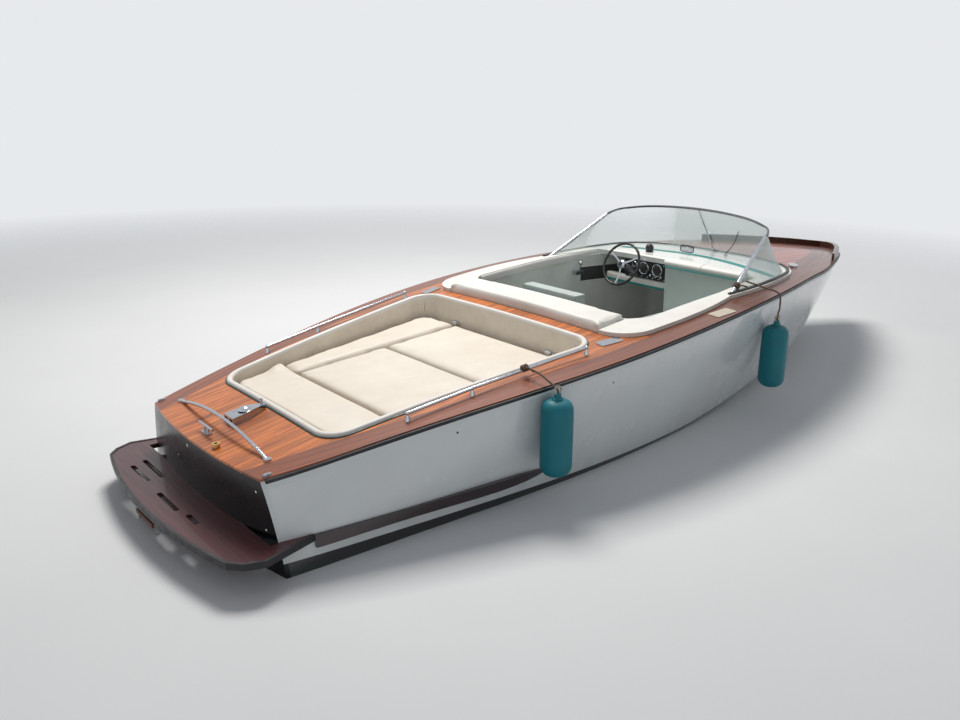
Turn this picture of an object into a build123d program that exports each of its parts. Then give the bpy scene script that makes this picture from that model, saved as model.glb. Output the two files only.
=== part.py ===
"""Classic varnished speedboat afloat: decked hull, sun pad, cockpit, wraparound screen.

Millimetres. +X is forward, +Y is port, +Z is up. The origin is on the waterline,
on the centreline, below the ends of the transom's deck edge.
"""

from build123d import *
import math
import os

os.makedirs("parts", exist_ok=True)

# Hull sections from the stern to the bow
# x, deck half breadth, deck edge height, chine half breadth, chine height, keel height
STATIONS = (
    (-150, 578, 437, 762, -25, -262),
    (600, 803, 552, 818, -25, -292),
    (1300, 965, 647, 862, -20, -320),
    (2000, 1075, 724, 884, -12, -344),
    (2800, 1091, 792, 852, 14, -362),
    (3600, 1012, 830, 762, 68, -370),
    (4300, 868, 836, 634, 130, -366),
    (4850, 698, 818, 494, 200, -330),
    (5250, 535, 793, 352, 278, -228),
    (5550, 393, 766, 240, 356, -6),
    (5800, 250, 739, 144, 440, 262),
    (5980, 136, 716, 72, 535, 470),
    (6110, 36, 700, 16, 672, 650),
)
TOPSIDE_BULGE = 14
DECK_CAMBER_RADIUS = 24200
DECK_THICKNESS = 12

# Transom, bowed aft in plan
TRANSOM_BOW = 70
TRANSOM_HALF = 720
TRANSOM_THICKNESS = 20
TRANSOM_RADIUS = (TRANSOM_HALF**2 + TRANSOM_BOW**2) / (2 * TRANSOM_BOW)

# Sun pad recess in the aft deck
RECESS_AFT = 380
RECESS_FORE = 2005
RECESS_HALF_AFT = 586
RECESS_HALF_FORE = 806
RECESS_CORNER = 130
LINER_THICKNESS = 10
LEDGE_WIDTH = 60
RIM_WIDTH = 34
RIM_HEIGHT = 16
PAD_TOP_AFT = 500
PAD_TOP_FORE = 606
PAD_THICKNESS = 90
PAD_AFT_SEAM = 760
PAD_FORE_SEAM = 1390
PAD_STRIP = 430
PAD_SEAM_GAP = 3
HATCH_THICKNESS = 22
HATCH_EDGE_GAP = 20
SEAT_GAP = 0.3
HINGE_X = 1985
HINGE_HALF = 450
HINGE_LENGTH = 90
HINGE_LUG = 16
HINGE_KNUCKLE = 44
HINGE_KNUCKLE_RADIUS = 8
HINGE_PIN_RADIUS = 4
HINGE_STRAP = 3

# Engine bay and engine
BAY_FLOOR = -60
ENGINE_LENGTH = 760
ENGINE_WIDTH = 560
ENGINE_HEIGHT = 440
ENGINE_AFT = 820

# Cockpit
PIT_AFT = 2355
PIT_FORE = 4200
PIT_FLOOR = 85
PIT_HALF = 805
PIT_CORNER = 100
SOLE_THICKNESS = 16
COAMING_RISE = 24
COAMING_AFT = 2135
COAMING_OPENING_AFT = 2372
COAMING_OPENING_HALF = 792
COAMING_OUTER_HALF = 945
COAMING_SIDE_AFT = 2560
COAMING_AFT_HALF = 925
COAMING_WIDEST = 2900
COAMING_CORNER = 230
COAMING_OPENING_CORNER = 90
DASH_CORNER = 30
BAR_RISE = 58
BAR_HALF = 705
DASH_AFT = 3720

# Bands along the topsides
RAIL_LOW = 42
RAIL_HIGH = 6
RAIL_PROUD = 14
RAIL_TIP = 6128
SPRAY_LOW = 112
SPRAY_HIGH = 168
SPRAY_PROUD = 34
SPRAY_END = 1530
TOE_RISE = 52
TOE_INSET = 5

# Swim platform, its brackets and the boarding ladder
PLATFORM_TOP = 173
PLATFORM_THICKNESS = 28
PLATFORM_AFT = -332
PLATFORM_HALF = 838
PLATFORM_WING = 165
SLOT_WIDTH = 26
PLATFORM_SLOTS = ((-214, 396, 250), (-138, 410, 280), (-226, -20, 250), (-205, -276, 120))
RUBBER_EDGE = 14
BRACKET_HALF = 620
BRACKET_THICKNESS = 10
LADDER_X = -285
LADDER_Y = 125
LADDER_HALF = 116
LADDER_PIN = 105
LADDER_LENGTH = 520
LADDER_STEPS = 3
PIN_RADIUS = 5
PIN_CLEARANCE = 0.05

# Instruments and steering
PANEL_SPAN = (15, 445)
PANEL_LOW = 700
PANEL_FACE = DASH_AFT + 6
PANEL_THICKNESS = 12
GAUGE_DEPTH = 10
KNEE_ROLL_SPAN = (5, 640)
KNEE_ROLL_HEIGHT = 62
# Gauges: y, height, radius
GAUGES = ((245, 782, 48), (115, 782, 48), (335, 800, 24), (185, 730, 12), (135, 730, 12), (85, 730, 12))
WHEEL_CENTRE = (3560, 345, 820)
WHEEL_RADIUS = 165
RIM_RADIUS = 10
WHEEL_TILT = 25
HUB_RADIUS = 34
HUB_TOP = 6
HUB_BOTTOM = 29
SPOKE_WIDTH = 15
SPOKE_THICKNESS = 5
COLUMN_RADIUS = 22
COLUMN_START = 34
COLUMN_LENGTH = 160
SPINDLE_RADIUS = 9
SPINDLE_LENGTH = 45

# Windscreen
SCREEN_FOOT = 3212
SCREEN_BASE_LENGTH = 1116
SCREEN_BASE_HALF = 862
SCREEN_BASE_POWER = 4
SCREEN_TOP_AFT = 3810
SCREEN_TOP_LENGTH = 230
SCREEN_TOP_HALF = 730
SCREEN_TOP_POWER = 2
NOSE_STEPS = 6
COAMING_MARGIN = 16
SCREEN_BASE_HEIGHT = 800
SCREEN_TOP_HEIGHT = 1147
SCREEN_CROWN_HEIGHT = 1240
GLASS_THICKNESS = 6
TRIM_WIDTH = 14
TRIM_DEPTH = 9
TRIM_PROUD = 4
POST_RADIUS = 13

# Deck fittings
ARCH_X = 90
ARCH_HALF = 513
ARCH_RISE = 60
RAIL_RADIUS = 9
SIDE_RAIL_FEET = ((733, 735), (1113, 776), (1864, 866))
SIDE_RAIL_RISE = 40
STERN_CLEAT_X = 14
SIDE_CLEAT = (2078, 845)
SIDE_CLEAT_TURN = 12
BOW_CLEAT = (4407, 619)
STEP_PAD = (2930, -1010)
COMPASS_PLACE = (3890, 340)
SOCKET_X = -18
SOCKET_Y = -185
SOCKET_RADIUS = 13
SOCKET_BORE = 10
SOCKET_LOW = 434
SOCKET_HIGH = 484
SOCKET_DEPTH = 40
BOW_EYE = (5804, 0, 235)
EYE_BORE = 14

# Running gear
SHAFT_RADIUS = 14
SHAFT_ANGLE = 13
SHAFT_AFT = (300, 0, -462)
SHAFT_LENGTH = 760
STRUT_PLACE = 200
SHAFT_LOG_AFT = (760, 0, -355.8)
SHAFT_LOG_FORE = (1090, 0, -279.6)
PROPELLER_RADIUS = 150
PROPELLER_HUB = 30
BLADE_PITCH = 28
RUDDER_X = 40
STOCK_RADIUS = 16

# Fenders: where the top stands, where its line crosses the rub rail
AFT_FENDER = (1434, -1072, 650)
AFT_LINE_CORNER = (1436, -1012, 676)
AFT_TIE_X = 1440
FORE_FENDER = (3512, -1049, 664)
FORE_LINE_CORNER = (3500, -1048, 838)
FORE_TIE_SHARE = 0.21
FENDER_RADIUS = 86
FENDER_LENGTH = 470
LINE_RADIUS = 5


def station_at(x):
    """Hull section values at x, straight between the stations."""
    for low, high in zip(STATIONS, STATIONS[1:]):
        if x <= high[0]:
            share = (x - low[0]) / (high[0] - low[0])
            return [a + (b - a) * share for a, b in zip(low, high)]
    return list(STATIONS[-1])


def deck_height(x, y=0.0):
    """Height of the deck's surface at a place in plan."""
    half, edge = station_at(x)[1:3]
    return edge + (half**2 - y**2) / (2 * DECK_CAMBER_RADIUS)


def crown_height(half):
    return half**2 / (2 * DECK_CAMBER_RADIUS)


def hull_section(x, half, edge, chine_half, chine, keel):
    """One closed cross-section of the hull, deck included."""
    crown = edge + crown_height(half)
    middle = ((half + chine_half) / 2, (edge + chine) / 2)
    run = math.hypot(half - chine_half, edge - chine)
    bulge = TOPSIDE_BULGE * min(1.0, half / 600)
    out = (middle[0] + bulge * (edge - chine) / run, middle[1] - bulge * (half - chine_half) / run)
    with BuildSketch(Plane.YZ.offset(x), mode=Mode.PRIVATE) as section:
        with BuildLine():
            Line((0, keel), (chine_half, chine))
            ThreePointArc((chine_half, chine), out, (half, edge))
            ThreePointArc((half, edge), (0, crown), (-half, edge))
            ThreePointArc((-half, edge), (-out[0], out[1]), (-chine_half, chine))
            Line((-chine_half, chine), (0, keel))
        make_face()
    return section.sketch


def slab_section(x, half, edge, low, high):
    """One cross-section of a layer that follows the deck, from low to high above it."""
    wide = half + 120
    crown = edge + crown_height(half)
    side = crown - crown_height(wide)
    with BuildSketch(Plane.YZ.offset(x), mode=Mode.PRIVATE) as section:
        with BuildLine():
            ThreePointArc((-wide, side + low), (0, crown + low), (wide, side + low))
            Line((wide, side + low), (wide, side + high))
            ThreePointArc((wide, side + high), (0, crown + high), (-wide, side + high))
            Line((-wide, side + high), (-wide, side + low))
        make_face()
    return section.sketch


def deck_layer(low, high):
    """Solid layer that follows the deck's sheer and camber."""
    with BuildPart(mode=Mode.PRIVATE) as layer:
        loft(sections=[slab_section(x, half, edge, low, high) for x, half, edge, *rest in STATIONS])
    return layer.part


def write(part, name):
    """Label a finished piece and write its file."""
    part.label = name
    export_step(part, f"parts/{name}.step")
    print(f"{name}: {len(part.solids())} solids, {part.volume / 1e6:.3f} dm3")


def point(x, y, above=0.0):
    """Place on the deck, or so far above it."""
    return Vector(x, y, deck_height(x, y) + above)


def rod(start, end, radius):
    """Round bar between two places."""
    start = Vector(*start)
    along = Vector(*end) - start
    with BuildPart(mode=Mode.PRIVATE) as bar:
        with BuildSketch(Plane(origin=start, z_dir=along)):
            Circle(radius)
        extrude(amount=along.length)
    return bar.part


def block(x_span, y_span, z_span):
    """Square-edged solid between two places on each axis."""
    spans = (x_span, y_span, z_span)
    centre = [sum(span) / 2 for span in spans]
    with BuildPart(mode=Mode.PRIVATE) as solid:
        with Locations(tuple(centre)):
            Box(*[span[1] - span[0] for span in spans])
    return solid.part


def outline(points):
    """Closed plan outline through corner points."""
    with BuildSketch(Plane.XY, mode=Mode.PRIVATE) as plan:
        with BuildLine():
            Polyline(*points, close=True)
        make_face()
    return plan.sketch


def both_sides(points):
    """Closed outline from its port half, run from the stern to the bow."""
    return list(points) + [(x, -y) for x, y in reversed(points) if y]


def rounded(points, radius):
    """Plan outline with its corners rounded."""
    with BuildSketch(Plane.XY, mode=Mode.PRIVATE) as plan:
        with BuildLine():
            Polyline(*points, close=True)
        make_face()
        fillet(plan.vertices(), radius)
    return plan.sketch


def grown(sketch, amount):
    """Plan outline set out, or in, by a width."""
    with BuildSketch(Plane.XY, mode=Mode.PRIVATE) as plan:
        add(sketch)
        offset(amount=amount, kind=Kind.INTERSECTION)
    return plan.sketch


def nose(aft, length, half, power):
    """Port half of a blunt rounded front in plan, from its aft end to the centreline."""
    places = []
    for step in range(NOSE_STEPS + 1):
        turn = math.radians(90 * (1 - step / NOSE_STEPS))
        ahead = length * max(math.cos(turn), 0) ** (2 / power)
        places.append((aft + ahead, half * math.sin(turn) ** (2 / power)))
    return places


def arc_chain(places):
    """Arcs through a row of places, three at a time."""
    for start in range(0, len(places) - 2, 2):
        ThreePointArc(*places[start:start + 3])


def mirrored(places):
    """Port places, then the same on the starboard side, ending aft."""
    return places + [(x, -y) for x, y in reversed(places[:-1])]


def prism(sketch, low=-800, high=1600):
    """Upright solid on a plan outline."""
    with BuildPart(mode=Mode.PRIVATE) as solid:
        add(Pos(0, 0, low) * sketch)
        extrude(amount=high - low)
    return solid.part


def stern_cut(bow_at):
    """Everything forward of the transom's bowed face."""
    wide = 1300
    reach = bow_at + TRANSOM_RADIUS - math.sqrt(TRANSOM_RADIUS**2 - wide**2)
    with BuildSketch(Plane.XY, mode=Mode.PRIVATE) as plan:
        with BuildLine():
            ThreePointArc((reach, -wide), (bow_at, 0), (reach, wide))
            Polyline((reach, wide), (7000, wide), (7000, -wide), (reach, -wide))
        make_face()
    return prism(plan.sketch)


# Hull envelope, closed with its deck, and the layers that lie on the deck

ahead_of_transom = stern_cut(-TRANSOM_BOW)
ahead_of_panel = stern_cut(-TRANSOM_BOW + TRANSOM_THICKNESS)
hull_sections = [hull_section(*row) for row in STATIONS]
with BuildPart() as envelope:
    loft(sections=hull_sections)
    add(ahead_of_transom, mode=Mode.INTERSECT)
envelope = envelope.part
deck_skin = deck_layer(-DECK_THICKNESS, 120)
coaming_skin = deck_layer(-DECK_THICKNESS, COAMING_RISE)
bar_skin = deck_layer(-DECK_THICKNESS, BAR_RISE)
rim_skin = deck_layer(0, RIM_HEIGHT)

# Plan outlines of the openings, the planking and the coaming

recess_plan = rounded(
    both_sides([(RECESS_AFT, RECESS_HALF_AFT), (RECESS_FORE, RECESS_HALF_FORE)]), RECESS_CORNER
)
recess_inside = grown(recess_plan, -LINER_THICKNESS)
hatch_plan = grown(recess_inside, -HATCH_EDGE_GAP)
bay_plan = grown(recess_plan, -LEDGE_WIDTH)
pit_plan = rounded(
    both_sides([(PIT_AFT, 700), (2500, PIT_HALF), (3300, 800), (3800, 690), (PIT_FORE, 540)]), PIT_CORNER
)
pit_inside = grown(pit_plan, -LINER_THICKNESS)
coaming_front = nose(
    SCREEN_FOOT,
    SCREEN_BASE_LENGTH + COAMING_MARGIN,
    SCREEN_BASE_HALF + COAMING_MARGIN,
    SCREEN_BASE_POWER,
)
foot_x, foot_y = coaming_front[0]
with BuildSketch(Plane.XY) as coaming_outside:
    with BuildLine():
        arc_chain(mirrored(coaming_front))
        for side in (-1, 1):
            ThreePointArc(
                (foot_x, side * foot_y),
                (COAMING_WIDEST, side * (COAMING_OUTER_HALF - 13)),
                (COAMING_SIDE_AFT, side * COAMING_OUTER_HALF),
            )
            Line((COAMING_SIDE_AFT, side * COAMING_OUTER_HALF), (COAMING_AFT, side * COAMING_AFT_HALF))
        Line((COAMING_AFT, -COAMING_AFT_HALF), (COAMING_AFT, COAMING_AFT_HALF))
    make_face()
    fillet(coaming_outside.vertices().group_by(Axis.X)[0], COAMING_CORNER)
coaming_outside = coaming_outside.sketch
opening_places = [(COAMING_OPENING_AFT, 700), (2500, COAMING_OPENING_HALF), (3200, 790), (DASH_AFT, 735)]
with BuildSketch(Plane.XY) as coaming_opening:
    add(outline(both_sides(opening_places)))
    corners = coaming_opening.vertices().sort_by(Axis.X)
    fillet(corners[:4], COAMING_OPENING_CORNER)
    fillet(coaming_opening.vertices().sort_by(Axis.X)[-2:], DASH_CORNER)
coaming_opening = coaming_opening.sketch
aft_planks = outline(both_sides([(-160, 470), (900, 755), (1900, 940), (2300, 958)]))
fore_planks = outline(both_sides([(4150, 660), (4500, 560), (5000, 400), (5400, 215), (5520, 60)]))

# The recess floor slopes up towards the cockpit

recess_floor = Plane(
    origin=(RECESS_AFT, 0, PAD_TOP_AFT - PAD_THICKNESS - HATCH_THICKNESS),
    x_dir=(RECESS_FORE - RECESS_AFT, 0, PAD_TOP_FORE - PAD_TOP_AFT),
    z_dir=(PAD_TOP_AFT - PAD_TOP_FORE, 0, RECESS_FORE - RECESS_AFT),
)


def floor_layer(low, high):
    """Layer parallel to the recess floor, from low to high above it."""
    with BuildPart(mode=Mode.PRIVATE) as layer:
        with BuildSketch(recess_floor.offset(low)):
            with Locations((900, 0)):
                Rectangle(3000, 2600)
        extrude(amount=high - low)
    return layer.part


# Hull, solid below its decks, with the open spaces cut

with BuildPart() as recess_well:
    add(prism(recess_plan))
    add(floor_layer(0, 900), mode=Mode.INTERSECT)

socket_hole = rod((SOCKET_X, SOCKET_Y, SOCKET_LOW), (SOCKET_X, SOCKET_Y, 600), SOCKET_RADIUS)

with BuildPart() as hull:
    add(envelope)
    add(deck_skin, mode=Mode.SUBTRACT)
    add(ahead_of_panel, mode=Mode.INTERSECT)
    add(recess_well.part, mode=Mode.SUBTRACT)
    add(prism(bay_plan, BAY_FLOOR, 900), mode=Mode.SUBTRACT)
    add(prism(pit_plan, PIT_FLOOR, 1300), mode=Mode.SUBTRACT)
    add(rod(SHAFT_LOG_AFT, SHAFT_LOG_FORE, SHAFT_RADIUS + 5), mode=Mode.SUBTRACT)
    add(rod((RUDDER_X, 0, -500), (RUDDER_X, 0, 20), STOCK_RADIUS + PIN_CLEARANCE), mode=Mode.SUBTRACT)
    add(socket_hole, mode=Mode.SUBTRACT)
write(hull.part, "hull")

with BuildPart() as transom:
    add(envelope)
    add(deck_skin, mode=Mode.SUBTRACT)
    add(ahead_of_panel, mode=Mode.SUBTRACT)
write(transom.part, "transom")

# Decks

with BuildPart() as deck_boards:
    add(envelope)
    add(deck_skin, mode=Mode.INTERSECT)
    add(prism(recess_plan), mode=Mode.SUBTRACT)
    add(prism(coaming_outside), mode=Mode.SUBTRACT)
deck_boards = deck_boards.part

with BuildPart() as covering_boards:
    add(deck_boards)
    add(prism(aft_planks), mode=Mode.SUBTRACT)
    add(prism(fore_planks), mode=Mode.SUBTRACT)
write(covering_boards.part, "covering_boards")

with BuildPart() as aft_deck:
    add(deck_boards)
    add(prism(aft_planks), mode=Mode.INTERSECT)
    add(socket_hole, mode=Mode.SUBTRACT)
write(aft_deck.part, "aft_deck")

with BuildPart() as foredeck:
    add(deck_boards)
    add(prism(fore_planks), mode=Mode.INTERSECT)
write(foredeck.part, "foredeck")

# Rub rail round the deck edge and spray rails low on the quarters


def band_section(x, half, edge, chine_half, chine, low, high, proud):
    """Section of a band that stands proud of both topsides, through the hull."""
    slope = (half - chine_half) / (edge - chine)
    low_half = half + (low - edge) * slope + proud
    high_half = half + (high - edge) * slope + proud
    with BuildSketch(Plane.YZ.offset(x), mode=Mode.PRIVATE) as section:
        with BuildLine():
            Polyline(
                (low_half, low), (high_half, high), (-high_half, high), (-low_half, low), close=True
            )
        make_face()
    return section.sketch


rail_rows = STATIONS[:-1] + ((RAIL_TIP, 30, 699, 12, 674, 650),)
rub_rail_sections = [
    band_section(x, half, edge, chine_half, chine, edge - RAIL_LOW, edge + RAIL_HIGH, RAIL_PROUD)
    for x, half, edge, chine_half, chine, keel in rail_rows
]
with BuildPart() as rub_rail:
    loft(sections=rub_rail_sections)
    add(envelope, mode=Mode.SUBTRACT)
    add(deck_layer(-RAIL_HIGH, 400), mode=Mode.SUBTRACT)
    add(block((-400, 4), (-1500, 1500), (0, 1000)), mode=Mode.SUBTRACT)
write(rub_rail.part, "rub_rail")

spray_rows = [station_at(x) for x in (-60, 400, 900, 1300)]
spray_sections = [
    band_section(*row[:5], SPRAY_LOW, SPRAY_HIGH, SPRAY_PROUD) for row in spray_rows
]
spray_tip = station_at(SPRAY_END)
spray_sections.append(band_section(*spray_tip[:5], SPRAY_LOW + 18, SPRAY_HIGH - 14, TOPSIDE_BULGE))
with BuildPart() as spray_rails:
    loft(sections=spray_sections)
    add(envelope, mode=Mode.SUBTRACT)
    add(block((-400, 165), (-1500, 1500), (-500, 1000)), mode=Mode.SUBTRACT)
write(spray_rails.part, "spray_rails")

# Raised toe rail round the bow

toe_rows = [(row[0], row[1] - TOE_INSET) for row in STATIONS if row[0] > 4800]
toe_outside = outline(both_sides(toe_rows))
toe_inside = outline(
    both_sides([(4800, 700), (4950, 635), (5250, 492), (5550, 344), (5800, 198), (5940, 102), (6020, 40)])
)
with BuildPart() as toe_rail:
    add(deck_layer(0, TOE_RISE))
    add(prism(toe_outside), mode=Mode.INTERSECT)
    add(prism(toe_inside), mode=Mode.SUBTRACT)
    add(block((5000, 6300), (-900, 900), (500, 1000)), mode=Mode.INTERSECT)
    add(envelope, mode=Mode.SUBTRACT)
write(toe_rail.part, "toe_rail")

# Swim platform with slots, its rubber edge and brackets

with BuildSketch(Plane.XY) as platform_plan:
    with BuildLine():
        ThreePointArc((-245, 745), (PLATFORM_AFT, 0), (-245, -745))
        for side in (-1, 1):
            Polyline(
                (-245, side * 745),
                (-195, side * 800),
                (-110, side * PLATFORM_HALF),
                (PLATFORM_WING, side * 768),
            )
        Line((PLATFORM_WING, -768), (PLATFORM_WING, 768))
    make_face()
platform_plan = platform_plan.sketch

with BuildPart() as swim_platform:
    add(prism(platform_plan, PLATFORM_TOP - PLATFORM_THICKNESS, PLATFORM_TOP))
    add(envelope, mode=Mode.SUBTRACT)
    add(block((-40, 400), (-740, 740), (0, 400)), mode=Mode.SUBTRACT)
    for x, y, length in PLATFORM_SLOTS:
        with BuildSketch(Plane.XY):
            with Locations((x, y)):
                SlotOverall(length, SLOT_WIDTH, rotation=90)
        extrude(amount=PLATFORM_TOP * 2, mode=Mode.SUBTRACT)
write(swim_platform.part, "swim_platform")

with BuildPart() as platform_edge:
    add(prism(grown(platform_plan, RUBBER_EDGE), PLATFORM_TOP - 31, PLATFORM_TOP + 3))
    add(prism(platform_plan), mode=Mode.SUBTRACT)
    add(envelope, mode=Mode.SUBTRACT)
    add(block((PLATFORM_WING - 5, 400), (-1500, 1500), (0, 400)), mode=Mode.SUBTRACT)
write(platform_edge.part, "platform_edge")

with BuildPart() as platform_brackets:
    for y in (-BRACKET_HALF, BRACKET_HALF):
        with BuildSketch(Plane.XZ.offset(-y - BRACKET_THICKNESS / 2)):
            with BuildLine():
                Polyline(
                    (60, PLATFORM_TOP - PLATFORM_THICKNESS), (-250, PLATFORM_TOP - PLATFORM_THICKNESS),
                    (-250, 128), (-40, -10), (60, -10), close=True
                )
            make_face()
        extrude(amount=BRACKET_THICKNESS)
    add(envelope, mode=Mode.SUBTRACT)
write(platform_brackets.part, "platform_brackets")

# Boarding ladder, hung below the platform's aft edge

with BuildPart() as ladder_hinge:
    for side in (-1, 1):
        y = LADDER_Y + side * (LADDER_HALF + 9)
        with BuildSketch(Plane.XZ.offset(-y - 3)):
            with BuildLine():
                Polyline(
                    (LADDER_X - 20, 145), (LADDER_X - 14, LADDER_PIN - 14), (LADDER_X + 14, LADDER_PIN - 14),
                    (LADDER_X + 20, 145), close=True
                )
            make_face()
            with Locations((LADDER_X, LADDER_PIN)):
                Circle(PIN_RADIUS + PIN_CLEARANCE, mode=Mode.SUBTRACT)
        extrude(amount=6)
write(ladder_hinge.part, "ladder_hinge")

with BuildPart() as ladder_rails:
    for side in (-1, 1):
        y = LADDER_Y + side * LADDER_HALF
        ends = (LADDER_PIN - LADDER_LENGTH, LADDER_PIN + 12)
        add(block((LADDER_X - 12, LADDER_X + 12), (y - 4, y + 4), ends))
    add(
        rod(
            (LADDER_X, LADDER_Y - LADDER_HALF - 14, LADDER_PIN),
            (LADDER_X, LADDER_Y + LADDER_HALF + 14, LADDER_PIN),
            PIN_RADIUS,
        )
    )
write(ladder_rails.part, "ladder_rails")

with BuildPart() as ladder_treads:
    for step in range(LADDER_STEPS):
        z = LADDER_PIN - 55 - step * 210
        add(
            block(
                (LADDER_X - 22, LADDER_X + 22),
                (LADDER_Y - LADDER_HALF + 4, LADDER_Y + LADDER_HALF - 4),
                (z - 10, z + 10),
            )
        )
write(ladder_treads.part, "ladder_treads")

# Sun pad recess: lining, rim, engine hatch and pads

with BuildPart() as recess_liner:
    add(recess_well.part)
    add(prism(recess_inside), mode=Mode.SUBTRACT)
    add(envelope, mode=Mode.INTERSECT)
write(recess_liner.part, "recess_liner")

with BuildPart() as recess_rim:
    add(rim_skin)
    add(prism(grown(recess_plan, RIM_WIDTH - LINER_THICKNESS)), mode=Mode.INTERSECT)
    add(prism(recess_inside), mode=Mode.SUBTRACT)
    add(envelope, mode=Mode.SUBTRACT)
write(recess_rim.part, "recess_rim")

with BuildPart() as engine_hatch:
    add(floor_layer(SEAT_GAP, HATCH_THICKNESS))
    add(prism(hatch_plan), mode=Mode.INTERSECT)
write(engine_hatch.part, "engine_hatch")

with BuildPart() as sun_pads:
    add(floor_layer(HATCH_THICKNESS + 0.3, HATCH_THICKNESS + PAD_THICKNESS))
    add(prism(hatch_plan), mode=Mode.INTERSECT)
    strip_edge = PAD_STRIP + PAD_SEAM_GAP
    aft_seam = (PAD_AFT_SEAM, PAD_AFT_SEAM + PAD_SEAM_GAP)
    fore_seam = (PAD_FORE_SEAM, PAD_FORE_SEAM + PAD_SEAM_GAP)
    add(block(aft_seam, (-900, 900), (300, 900)), mode=Mode.SUBTRACT)
    add(block(fore_seam, (-900, strip_edge), (300, 900)), mode=Mode.SUBTRACT)
    add(block((PAD_AFT_SEAM, 2400), (PAD_STRIP, strip_edge), (300, 900)), mode=Mode.SUBTRACT)
write(sun_pads.part, "sun_pads")

# Hatch hinges: pins held by the recess wall, and the straps that turn on them

with BuildPart() as hatch_hinge_pins:
    for y in (-HINGE_HALF, HINGE_HALF):
        pin = Vector(HINGE_X, y, PAD_TOP_FORE)
        half_pin = Vector(0, HINGE_LENGTH / 2, 0)
        add(rod(pin - half_pin, pin + half_pin, HINGE_PIN_RADIUS))
        for side in (-1, 1):
            lug_end = y + side * HINGE_LENGTH / 2
            lug = (HINGE_X - HINGE_PIN_RADIUS, RECESS_FORE - LINER_THICKNESS)
            lug_width = sorted((lug_end - side * HINGE_LUG, lug_end))
            lug_height = (PAD_TOP_FORE - HINGE_PIN_RADIUS, PAD_TOP_FORE + HINGE_PIN_RADIUS)
            add(block(lug, lug_width, lug_height))
write(hatch_hinge_pins.part, "hatch_hinge_pins")

with BuildPart() as hatch_hinge_straps:
    for y in (-HINGE_HALF, HINGE_HALF):
        pin = Vector(HINGE_X, y, PAD_TOP_FORE)
        half_knuckle = Vector(0, HINGE_KNUCKLE / 2, 0)
        knuckle_span = (y - HINGE_KNUCKLE / 2, y + HINGE_KNUCKLE / 2)
        strap_aft = RECESS_FORE - LINER_THICKNESS - HATCH_EDGE_GAP + SEAT_GAP
        strap_foot = PAD_TOP_FORE - PAD_THICKNESS - HATCH_THICKNESS + 2
        add(block((strap_aft, strap_aft + HINGE_STRAP), knuckle_span, (strap_foot, PAD_TOP_FORE)))
        add(rod(pin - half_knuckle, pin + half_knuckle, HINGE_KNUCKLE_RADIUS))
        add(rod(pin - half_knuckle, pin + half_knuckle, HINGE_PIN_RADIUS + PIN_CLEARANCE), mode=Mode.SUBTRACT)
write(hatch_hinge_straps.part, "hatch_hinge_straps")

with BuildPart() as engine:
    add(
        block(
            (ENGINE_AFT, ENGINE_AFT + ENGINE_LENGTH),
            (-ENGINE_WIDTH / 2, ENGINE_WIDTH / 2),
            (BAY_FLOOR, BAY_FLOOR + ENGINE_HEIGHT),
        )
    )
write(engine.part, "engine")

# Cockpit lining, sole and padding

with BuildPart() as cockpit_sole:
    add(prism(pit_inside, PIT_FLOOR, PIT_FLOOR + SOLE_THICKNESS))
write(cockpit_sole.part, "cockpit_sole")

with BuildPart() as cockpit_liner:
    add(prism(pit_plan, PIT_FLOOR, 1300))
    add(prism(pit_inside, PIT_FLOOR - 10, 1300), mode=Mode.SUBTRACT)
    add(envelope, mode=Mode.INTERSECT)
    add(deck_skin, mode=Mode.SUBTRACT)
write(cockpit_liner.part, "cockpit_liner")

aft_bar_plan = block((COAMING_AFT - 60, COAMING_OPENING_AFT), (-BAR_HALF, BAR_HALF), (0, 1500))
dash_plan = block((DASH_AFT, 5000), (-1200, 1200), (0, 1500))
with BuildPart() as coaming_ring:
    add(prism(coaming_outside))
    add(prism(coaming_opening), mode=Mode.SUBTRACT)
coaming_ring = coaming_ring.part

with BuildPart() as aft_bar:
    add(bar_skin)
    add(coaming_ring, mode=Mode.INTERSECT)
    add(aft_bar_plan, mode=Mode.INTERSECT)
write(aft_bar.part, "aft_bar")

with BuildPart() as side_pads:
    add(coaming_skin)
    add(coaming_ring, mode=Mode.INTERSECT)
    add(block((COAMING_AFT - 60, COAMING_OPENING_AFT + 0.3), (-BAR_HALF - 0.3, BAR_HALF + 0.3), (0, 1500)),
        mode=Mode.SUBTRACT)
    add(dash_plan, mode=Mode.SUBTRACT)
write(side_pads.part, "side_pads")

with BuildPart() as dash:
    add(coaming_skin)
    add(coaming_ring, mode=Mode.INTERSECT)
    add(dash_plan, mode=Mode.INTERSECT)
write(dash.part, "dash")

# Instruments and steering

with BuildPart() as instrument_panel:
    add(block((PANEL_FACE, PANEL_FACE + PANEL_THICKNESS), PANEL_SPAN, (PANEL_LOW, 1000)))
    add(deck_layer(-DECK_THICKNESS, 400), mode=Mode.SUBTRACT)
write(instrument_panel.part, "instrument_panel")

with BuildPart() as gauges:
    for y, z, radius in GAUGES:
        add(rod((PANEL_FACE, y, z), (PANEL_FACE - GAUGE_DEPTH, y, z), radius))
write(gauges.part, "gauges")

with BuildPart() as knee_roll:
    add(block((PANEL_FACE, PANEL_FACE + 54), KNEE_ROLL_SPAN, (PANEL_LOW - KNEE_ROLL_HEIGHT, PANEL_LOW)))
write(knee_roll.part, "knee_roll")

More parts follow.
